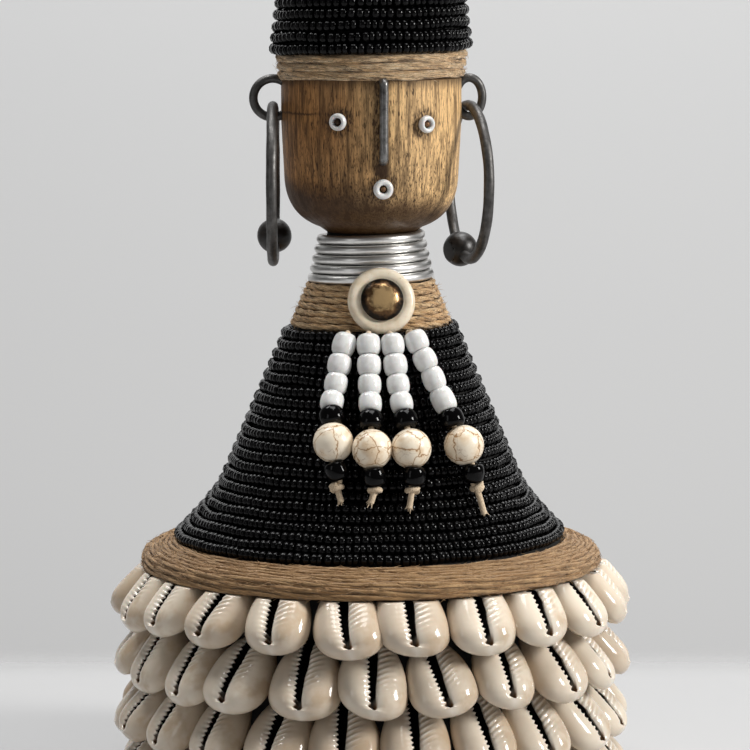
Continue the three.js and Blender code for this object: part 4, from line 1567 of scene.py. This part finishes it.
@dataclass
class Earring:
    """An ear loop in the wood, and a hoop with a wooden ball that swings on it."""

    side: str
    body: Body
    iron: Material
    wood: Material
    sign: float
    turn: float
    ball_angle: float
    chipped: bool
    seed: int
    ear_width: float
    ear_x: float = 25.9
    ear_foot: float = 179.023
    ear_rise: float = 5.05
    ear_wire: float = 1.15
    ear_steps: int = 36
    hoop_height: float = 161.673
    hoop_radius: float = 20.2
    hoop_wire: float = 1.42
    hoop_steps: int = 96
    hoop_sway: float = 0.12
    waver: Point2 = (0.015, 0.9)
    ball_radius: float = 4.6
    lumps: float = 0.022
    lump_scale: float = 0.28
    chip: float = 3.75
    chip_edge: float = 0.35
    chip_side: Point3 = (-0.92, -0.36, -0.12)
    reach: float = math.radians(150.0)

    def back(self) -> Vector:
        """Direction of the hoop's plane, away from the face."""
        return around(math.pi + self.sign * self.turn, 1.0, 0.0)

    def on_hoop(self, angle: float) -> Vector:
        """A point of the hoop's middle line, by its angle behind the lowest point."""
        centre = Vector((self.sign * self.ear_x, 0.0, self.hoop_height))
        return centre + (self.back() * math.sin(angle) - UP * math.cos(angle)) * self.hoop_radius

    def ear(self) -> Mesh:
        """The open loop of wire that stands out of the head.

        Returns:
            Its mesh.
        """
        path = [Vector((self.sign * (self.ear_x + self.ear_width * math.cos(a)), 0.0,
                        self.ear_foot + self.ear_rise * (1.0 + math.sin(a))))
                for a in (self.reach * (2 * k / self.ear_steps - 1.0)
                          for k in range(self.ear_steps + 1))]
        return tubes(self.side + "_ear_wire", [path], self.ear_wire, WIRE_LEVEL)

    def hoop(self) -> Mesh:
        """The hoop, a little uneven as bent by hand.

        Returns:
            Its mesh.
        """
        path = []
        for angle in (TURN * k / self.hoop_steps for k in range(self.hoop_steps)):
            spot = (2.0 * math.cos(angle), 2.0 * math.sin(angle), float(self.seed))
            sway = self.hoop_sway * noise.noise(spot)
            path.append(self.on_hoop(angle) + self.back().cross(UP) * sway)
        return tubes(self.side + "_earring_hoop", [path], self.hoop_wire, WIRE_LEVEL, loop=True,
                     swell=lambda k: 1.0 + self.waver[0] * math.sin(self.waver[1] * k))

    def ball(self) -> Mesh:
        """The ball, turned by hand and, on one side, chipped flat.

        Returns:
            Its mesh.
        """
        shape = bmesh.new()
        bmesh.ops.create_uvsphere(shape, u_segments=40, v_segments=24, radius=self.ball_radius)
        for vert in shape.verts:
            spot = vert.co * self.lump_scale + Vector((self.seed, 0, 0))
            vert.co *= 1.0 + self.lumps * noise.noise(spot)
        if self.chipped:
            out = Vector(self.chip_side).normalized()
            rim = slice_off(shape, out * self.chip, out)
            bmesh.ops.bevel(shape, geom=rim, offset=self.chip_edge, offset_type="OFFSET",
                            affect="EDGES", segments=3, profile=0.5, material=-1)
        return mesh_from(shape, self.side + "_earring_ball", CREASE)

    def build(self) -> None:
        """Makes ear, hoop and ball and adds them."""
        on_hoop = Matrix.Translation(self.on_hoop(self.ball_angle))
        name = self.side + "_earring"
        add_piece(self.side + "_ear_loop", self.ear(), self.iron, Slot.IRON,
                  [self.side + "_ear_wire"])
        add_piece(self.side + "_hoop", self.hoop(), self.iron, Slot.IRON, [name + "_hoop"],
                  self.body)
        add_piece(self.side + "_ball", self.ball(), self.wood, Slot.DARK_WOOD, [name + "_ball"],
                  self.body, on_hoop)


# Pendant and strands

@dataclass
class Pendant:
    """A bone ring with a domed stud that leans on the shoulder."""

    bone: Material
    bronze: Material
    centre: Point3 = (0.0, -19.15, 132.143)
    tilt: float = math.radians(17.0)
    ring_radius: float = 8.8
    ring_thickness: float = 2.2
    stud_radius: float = 5.65
    stud_rise: float = 2.6
    bore: float = 1.5
    shank: float = 1.2
    gap: float = 0.2
    ring_steps: int = 72
    stud_steps: int = 64

    def build(self) -> None:
        """Turns ring and stud and adds them."""
        place = facing(Vector(self.centre), around(0.0, math.cos(self.tilt), math.sin(self.tilt)))
        rim, thick = self.ring_radius, self.ring_thickness
        profile = soften([(self.bore, 0.0), (rim - 0.8, 0.0), (rim, 0.3), (rim, 0.6 * thick),
                          (rim - 0.8, 1.05 * thick), (rim - 2.2, 1.12 * thick),
                          (rim - 3.4, 0.85 * thick), (self.bore, 0.8 * thick)], 3, ring=True)
        ring = spun("pendant_ring", profile, self.ring_steps, ring=True, crease=SMOOTH)
        seat, wide, rise = thick + self.gap, self.stud_radius, self.stud_rise
        dome = soften([(wide - 0.3, seat), (wide, seat + 0.25), (0.93 * wide, seat + 0.42 * rise),
                       (0.58 * wide, seat + 0.92 * rise), (0.0, seat + rise)], 3)
        shank = [(0.0, 0.0), (self.shank, 0.0), (self.shank, seat)]
        stud = spun("pendant_stud", [*shank, *dome], self.stud_steps)
        # the dome attribute carries the stud's painted highlight, 1 on its crown and 0 at its edge
        set_attribute(stud, "dome", 1.0 - np.linalg.norm(corners_of(stud)[:, :2], axis=1) / wide)
        add_piece("bone_ring", ring, self.bone, Slot.BONE, ["pendant_ring"], place=place)
        add_piece("domed_stud", stud, self.bronze, Slot.BRONZE, ["pendant_stud"], place=place)


@dataclass(frozen=True)
class BeadSize:
    """Radius and length of a bead on a strand, and the share of its radius at the rims."""

    radius: float
    length: float
    shoulder: float


@dataclass
class HangingStrand:
    """A cord with beads that hangs from the shoulder and ends in a knot with a tail."""

    number: int
    body: Body
    route: tuple[Point3, ...]
    white_glass: Material
    black_glass: Material
    howlite: Material
    cotton: Material
    bore: float = 0.9
    cord_radius: float = 0.8
    whites: int = 4
    white_girths: Point2 = (0.95, 1.02)
    white_lengths: Point2 = (0.97, 1.03)
    white: BeadSize = BeadSize(3.08, 5.1, 0.76)
    upper_black: BeadSize = BeadSize(3.25, 4.75, 0.78)
    lower_black: BeadSize = BeadSize(2.98, 4.95, 0.78)
    stone_radius: float = 5.15
    black_tone: float = 0.2
    knot_radius: float = 1.22
    knot_wire: float = 0.76
    knot_turns: float = 1.4
    knot_steps: int = 43
    threads: int = 7
    thread_radius: float = 0.2
    thread_length: float = 1.15
    thread_stops: tuple[float, ...] = (0.0, 0.3, 0.65, 1.0)
    thread_widths: tuple[float, ...] = (1.0, 1.0, 0.8, 0.4)
    barrel_steps: int = 36
    stone_steps: int = 48
    stone_rows: int = 28
    size_seed: int = 60
    fray_seed: int = 200

    @property
    def name(self) -> str:
        """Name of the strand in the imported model."""
        return f"strand_{self.number}"

    @property
    def points(self) -> list[Vector]:
        """The route as vectors: the tie, the ends of the beads, the knot and the tail."""
        return [Vector(point) for point in self.route]

    def seat(self, number: int) -> Matrix:
        """The place of a bead, by its number from the top."""
        start, end = self.points[number + 1:number + 3]
        return facing((start + end) / 2, end - start, FRONT)

    def barrel(self, name: str, size: BeadSize) -> Mesh:
        """A drum-shaped glass bead with its bore.

        Args:
            name: Name of the mesh.
            size: Its size.

        Returns:
            The mesh.
        """
        half, rim = size.length / 2, size.shoulder * size.radius
        lower = [(self.bore, -0.86 * half), (self.bore + 0.3, -half), (rim, -half),
                 (size.radius, -0.5 * half)]
        profile = [*lower, *((radius, -height) for radius, height in reversed(lower))]
        mesh = spun(name, soften(profile, ring=True), self.barrel_steps, ring=True, crease=SMOOTH)
        set_attribute(mesh, "tone", np.full(len(mesh.vertices), self.black_tone))
        return mesh

    def stone(self) -> Mesh:
        """The round stone bead with its bore.

        Returns:
            Its mesh.
        """
        start = math.asin(self.bore / self.stone_radius)
        angles = [start + (math.pi - 2 * start) * k / self.stone_rows
                  for k in range(self.stone_rows + 1)]
        profile = [(self.stone_radius * math.sin(a), -self.stone_radius * math.cos(a))
                   for a in angles]
        return spun(self.name + "_stone", profile, self.stone_steps, ring=True, crease=CREASE)

    def knot(self) -> Mesh:
        """A small knot at the strand's end: a loop and a half of the cord round itself.

        Returns:
            Its mesh.
        """
        middle, tail = self.points[-2:]
        place = facing(middle, tail - middle, FRONT)
        path = []
        for share in (k / self.knot_steps for k in range(self.knot_steps + 1)):
            angle = TURN * (self.knot_turns * share + 0.23 * self.number)
            fall = 1.1 * share - 0.75 + 0.3 * math.cos(angle + self.number)
            path.append(place @ Vector((self.knot_radius * math.cos(angle),
                                        self.knot_radius * math.sin(angle), fall)))
        return tubes(self.name + "_knot", [path], self.knot_wire, 2)

    def fray(self) -> Mesh:
        """Loose threads at the end of the tail.

        Returns:
            Their mesh.
        """
        chance = random.Random(self.fray_seed + self.number)
        knot, tail = self.points[-2:]
        down = (tail - knot).normalized()
        paths = []
        for _ in range(self.threads):
            aside = Vector((chance.gauss(0, 0.25), chance.gauss(0, 0.15) - 0.05,
                            chance.gauss(0, 0.15)))
            start = tail - down * 0.8 + aside * 1.3
            paths.append([start + (down + aside * s) * self.thread_length * s
                          for s in self.thread_stops])
        return tubes(self.name + "_fray", paths, self.thread_radius,
                     swell=lambda k: self.thread_widths[k])

    def white_seats(self) -> list[Matrix]:
        """The places of the white beads, each a little different and as long as its room.

        Returns:
            One place for each bead from the top.
        """
        chance = random.Random(self.size_seed + self.number)
        found = []
        for k in range(self.whites):
            room = (self.points[k + 2] - self.points[k + 1]).length / self.white.length
            girth = chance.uniform(*self.white_girths)
            length = room * chance.uniform(*self.white_lengths)
            found.append(self.seat(k) @ Matrix.Diagonal((girth, girth, length, 1.0)))
        return found

    def build(self) -> None:
        """Strings the beads on the cord, which is one open curve, and adds all of it."""
        name, body, path = self.name, self.body, soften(self.route)
        data = curve(name + "_line", [[point * MM for point in path]], self.cord_radius * MM, 3)
        data.use_fill_caps = True
        line = enlist(name + "_line", data, self.cotton, Slot.CORD, [name + "_cord"], body)
        pale = repeated(name + "_whites", self.barrel("white", self.white), self.white_seats())
        nodes = [f"{name}_white_bead_{k + 1}" for k in range(self.whites)]
        beads = [add_piece(name + "_white_beads", pale, self.white_glass, Slot.WHITE_GLASS, nodes,
                           body)]
        singles = (
            ("_upper_drum", "_upper_black_bead", self.barrel(name + "_upper", self.upper_black),
             self.black_glass, Slot.BLACK_GLASS),
            ("_stone_bead", "_howlite_bead", self.stone(), self.howlite, Slot.HOWLITE),
            ("_lower_drum", "_lower_black_bead", self.barrel(name + "_lower", self.lower_black),
             self.black_glass, Slot.BLACK_GLASS),
        )
        for k, (end, node, mesh, finish, slot) in enumerate(singles, self.whites):
            beads.append(add_piece(name + end, mesh, finish, slot, [name + node], body,
                                   self.seat(k)))
        for end, mesh in (("_end_knot", self.knot()), ("_tail_fray", self.fray())):
            beads.append(add_piece(name + end, mesh, self.cotton, Slot.CORD, body=body))
        length = sum((b - a).length for a, b in zip(path, path[1:]))
        tuple(path[0] * MM)
        2 * self.cord_radius * MM


ROUTES: dict[Body, tuple[Point3, ...]] = {
    Body.STRAND_1: (
        (-9.109, -22.597, 124.435), (-9.544, -24.732, 124.305), (-11.372, -26.785, 119.31),
        (-12.398, -28.64, 114.565), (-13.621, -30.496, 109.87), (-15.027, -33.315, 105.91),
        (-14.291, -35.533, 102.838), (-15.076, -39.297, 93.479), (-13.208, -40.049, 88.811),
        (-14.06, -40.163, 86.865), (-13.04, -40.541, 83.322)),
    Body.STRAND_2: (
        (-3.861, -24.056, 124.435), (-4.216, -26.346, 124.305), (-4.38, -28.536, 119.31),
        (-4.523, -30.528, 114.365), (-4.645, -32.523, 109.67), (-4.888, -35.547, 105.41),
        (-5.101, -38.464, 101.538), (-5.184, -42.626, 91.779), (-4.551, -43.038, 87.961),
        (-4.786, -43.081, 86.457), (-5.836, -43.418, 83.329)),
    Body.STRAND_3: (
        (1.445, -24.321, 124.435), (1.674, -26.626, 124.305), (2.071, -28.796, 119.31),
        (2.505, -30.76, 114.365), (2.977, -32.718, 109.67), (3.59, -35.702, 105.41),
        (4.219, -38.571, 101.538), (5.508, -42.585, 91.779), (5.09, -42.918, 87.961),
        (4.772, -43.022, 86.253), (3.976, -43.517, 81.855)),
    Body.STRAND_4: (
        (6.491, -23.483, 124.435), (7.35, -25.628, 124.805), (9.141, -27.451, 120.21),
        (11.261, -28.998, 115.665), (13.198, -30.465, 110.47), (15.668, -32.791, 105.11),
        (16.869, -34.942, 101.238), (21.384, -37.236, 92.179), (21.067, -37.097, 87.161),
        (22.448, -36.833, 85.721), (24.327, -36.631, 78.898)),
}


# Studio

def aimed(name: str, data: bpy.types.Light | bpy.types.Camera, place: Point3,
          target: Point3) -> Piece:
    """Sets up a lamp or a camera so that it faces a point.

    Args:
        name: Name of the object.
        data: The lamp or the camera.
        place: Its place in metres.
        target: Point that it faces, in metres.

    Returns:
        The object.
    """
    holder = bpy.data.objects.new(name, data)
    holder.location = place
    holder.rotation_euler = (Vector(target) - Vector(place)).to_track_quat("-Z", "Y").to_euler()
    bpy.context.scene.collection.objects.link(holder)
    return holder


@dataclass(frozen=True)
class Softbox:
    """A soft rectangular lamp that faces the doll."""

    name: str
    place: Point3
    size: Point2
    power: float
    tint: Colour = (1.0, 1.0, 1.0)

    def build(self, target: Point3) -> None:
        """Hangs the lamp so that it faces a point in metres.

        Args:
            target: The point.
        """
        lamp = bpy.data.lights.new(self.name, "AREA")
        lamp.shape = "RECTANGLE"
        lamp.size, lamp.size_y = self.size
        lamp.energy, lamp.color = self.power, self.tint
        aimed(self.name, lamp, self.place, target)


@dataclass
class Studio:
    """Table, wall, lamps and the camera at the photograph's viewing angle, in metres."""

    eye: Point3 = (-0.12583, -0.95575, 0.2218)
    target: Point3 = (0.000968, -0.000128, 0.11092)
    lit: Point3 = (0.0, 0.0, 0.12)
    lens: float = 176.4
    sensor: float = 36.0
    farthest: float = 50.0
    table_colour: Colour = (0.372, 0.372, 0.374)
    # painted shading on the wall: paler at its foot, darker at its top
    wall_low: Colour = (0.87, 0.873, 0.877)
    wall_high: Colour = (0.78, 0.785, 0.79)
    half_width: float = 3.0
    table_end: float = 0.20
    table_fade: float = 0.055
    table_edge: float = 0.006
    edge_steps: int = 6
    table_drop: float = 0.5
    wall_place: float = 1.2
    wall_foot: float = -1.5
    wall_top: float = 3.0
    world_strength: float = 0.09
    lamps: tuple[Softbox, ...] = (
        Softbox("key_softbox", (1.1, -0.55, 0.66), (0.32, 0.5), 18.0, (1.0, 0.985, 0.96)),
        Softbox("left_softbox", (-1.0, -0.85, 0.5), (0.3, 0.75), 1.0),
        Softbox("top_softbox", (0.15, -0.1, 1.3), (0.6, 0.6), 8.0),
        Softbox("wall_softbox", (-0.15, 0.45, 1.6), (1.6, 0.5), 29.0),
    )

    @property
    def sight(self) -> Vector:
        """Direction from the camera to what it faces."""
        return Vector(self.target) - Vector(self.eye)

    def camera(self) -> None:
        """Sets the camera."""
        data = bpy.data.cameras.new("camera")
        data.lens, data.sensor_width, data.clip_end = self.lens, self.sensor, self.farthest
        bpy.context.scene.camera = aimed("camera", data, self.eye, self.target)

    def panel(self, name: str, line: Sequence[Point2], low: Colour, high: Colour) -> Shader:
        """Adds a part of the stage, square to the view.

        Args:
            name: Name of the part.
            line: Its section as points of (distance, height).
            low: Colour of its lower part.
            high: Colour of its upper part.

        Returns:
            Its material.
        """
        shape = bmesh.new()
        verts = [shape.verts.new((-self.half_width, y, z)) for y, z in line]
        edges = [shape.edges.new(pair) for pair in zip(verts, verts[1:])]
        grown = bmesh.ops.extrude_edge_only(shape, edges=edges)["geom"]
        far = [item for item in grown if isinstance(item, bmesh.types.BMVert)]
        bmesh.ops.translate(shape, verts=far, vec=(2 * self.half_width, 0.0, 0.0))
        turn = Matrix.Rotation(-math.atan2(self.sight.x, self.sight.y), 3, "Z")
        bmesh.ops.rotate(shape, verts=shape.verts, matrix=turn)
        mesh = mesh_from(shape, name, CREASE)
        shader = Shader("pale_" + name)
        # the colour grades with height from low to high; on the wall this paints shading
        colour = shader.mix(shader.place().axis("Z").band(-200.0, 200.0), low, high)
        shader.surface(Base_Color=colour, Roughness=0.9, Specular_IOR_Level=0.1)
        mesh.materials.append(shader.material)
        stage = bpy.data.objects.new(name, mesh)
        bpy.context.scene.collection.objects.link(stage)
        return shader

    @staticmethod
    def clear_where(shader: Shader, share: Value) -> None:
        """Makes a part of the stage clear.

        Args:
            shader: Its material.
            share: How clear it is, from 0 to 1.
        """
        output = shader.tree.nodes["Material Output"]
        solid = Value(shader, output.inputs["Surface"].links[0].from_socket)
        clear = shader.node("BsdfTransparent", 0)
        choice = shader.node("MixShader", 0, {0: share, 1: solid, 2: clear})
        shader.fill(output, {"Surface": choice})

    def floor(self) -> None:
        """Lays a table that fades out behind the doll, and a wall that is clear from behind."""
        edge, end = self.table_edge, self.table_end
        bend = [(end + edge * math.sin(a), edge * math.cos(a) - edge)
                for a in (math.pi / 2 * k / self.edge_steps for k in range(self.edge_steps + 1))]
        line = [(-self.half_width, 0.0), *bend, (end + edge, -self.table_drop)]
        table = self.panel("floor", line, self.table_colour, self.table_colour)
        ahead = table.node("VectorMath", "Value",
                           {0: table.place(), 1: self.sight.xy.normalized().to_3d()},
                           operation="DOT_PRODUCT")
        self.clear_where(table, ahead.band((end - self.table_fade) / MM, end / MM))
        line = [(self.wall_place, self.wall_foot), (self.wall_place, self.wall_top)]
        wall = self.panel("wall", line, self.wall_low, self.wall_high)
        self.clear_where(wall, wall.node("NewGeometry", "Backfacing"))

    def light(self) -> None:
        """Sets the world and hangs the lamps."""
        world = bpy.data.worlds.new("soft_room")
        world.use_nodes = True
        sky = world.node_tree.nodes["Background"]
        sky.inputs["Color"].default_value = (1.0, 1.0, 1.0, 1.0)
        sky.inputs["Strength"].default_value = self.world_strength
        bpy.context.scene.world = world
        for lamp in self.lamps:
            lamp.build(self.lit)

    def build(self) -> None:
        """Sets up the whole studio."""
        bpy.context.scene.view_settings.view_transform = "Standard"
        self.camera()
        self.floor()
        self.light()


# Assembly


def main() -> None:
    """Builds the studio and the doll, piece by piece."""
    logging.basicConfig(level=logging.INFO, format="%(name)s %(message)s")
    Studio().build()
    outline = Outline()
    black, white = BlackGlassFinish().material(), WHITE_GLASS.material()
    howlite, cotton = HowliteFinish().material(), COTTON.material()
    for number, (body, route) in enumerate(ROUTES.items(), 1):
        HangingStrand(number, body, route, white, black, howlite, cotton).build()

    rusty = WireFinish("rusty_nail", (0.20, 0.105, 0.05), (0.07, 0.033, 0.015), 0.45, 0.75, 0.5)
    dark = WireFinish("dark_nail", (0.06, 0.034, 0.018), (0.02, 0.011, 0.006), 0.5, 0.8, 0.4)
    nail, dark_nail = rusty.material(), dark.material()
    eye_angle = math.radians(27.8)
    beads = (FaceBead("left_eye", outline, white, dark_nail, -eye_angle, 178.67),
             FaceBead("right_eye", outline, white, nail, eye_angle, 177.97),
             FaceBead("mouth", outline, white, nail, 0.0, 161.47, outer=2.5992))
    wood = WoodFinish(spots=tuple(tuple(bead.spot) for bead in beads))
    finishes = [finish.material() for finish in (wood, BLACK_UNDERLAY, BROWN_UNDERLAY)]
    WoodenFigure(outline, finishes).build()
    for bead in beads:
        bead.build()
    worn = WireFinish("worn_iron", (0.30, 0.295, 0.29), (0.06, 0.058, 0.056), 0.32, 0.44, 0.9, 0.02)
    NoseStaple(worn.material()).build()
    forged = WireFinish("forged_iron", (0.125, 0.121, 0.117), (0.046, 0.044, 0.042), 0.42, 0.55,
                        0.85, 0.03)
    iron, dark_wood = forged.material(), DARK_WOOD.material()
    Earring("left", Body.LEFT_EARRING, iron, dark_wood, sign=-1.0, turn=math.radians(7.2),
            ball_angle=math.radians(43.5), chipped=False, seed=3, ear_width=5.1).build()
    Earring("right", Body.RIGHT_EARRING, iron, dark_wood, sign=1.0, turn=math.radians(6.0),
            ball_angle=math.radians(25.0), chipped=True, seed=8, ear_width=3.5).build()
    Pendant(BoneFinish().material(), BronzeFinish().material()).build()

    BeadString("headdress_beads", black, Winding(outline.headdress, 18), sides=10, seed=11).build()
    BeadString("body_beads", black, Winding(outline.body, 21), sides=8, seed=12).build()
    aluminium = WireFinish("satin_aluminium", (0.82, 0.81, 0.79), (0.70, 0.69, 0.67), 0.32, 0.38,
                           1.0, 0.0)
    NeckCoil(aluminium.material(), Winding(outline.neck, 5)).build()
    messy = JuteFinish("headband_jute", (1.0, 0.84, 0.60), (0.78, 0.54, 0.29), (0.06, 0.03, 0.012),
                       0.03, 0.03)
    Twine("headband_twine", messy.material(), Winding(outline.headband, 3), radius=1.2, plies=5,
          lay=70.0, step=0.8, hairs=420, seed=21, level=2, loose=0.4, stand=(0.08, 0.5)).build()
    Twine("shoulder_twine", JuteFinish().material(), Winding(outline.shoulder, 7), radius=0.88,
          plies=3, lay=16.0, step=0.6, hairs=620, seed=22, loose=0.3).build()
    felted = JuteFinish("felted_jute", (0.57, 0.37, 0.18), (0.41, 0.25, 0.115), (0.20, 0.118, 0.05),
                        0.12)
    Twine("brim_twine", felted.material(), Winding(outline.brim, 8), radius=0.93, plies=3, lay=45.0,
          step=1.0, hairs=5200, seed=23, loose=0.5, hair=0.085, stand=(-0.05, 0.25)).build()

    SkirtCloth(ClothFinish().material()).build()
    CowrieRows(CowrieFinish().material()).build()


if __name__ == "__main__":
    main()
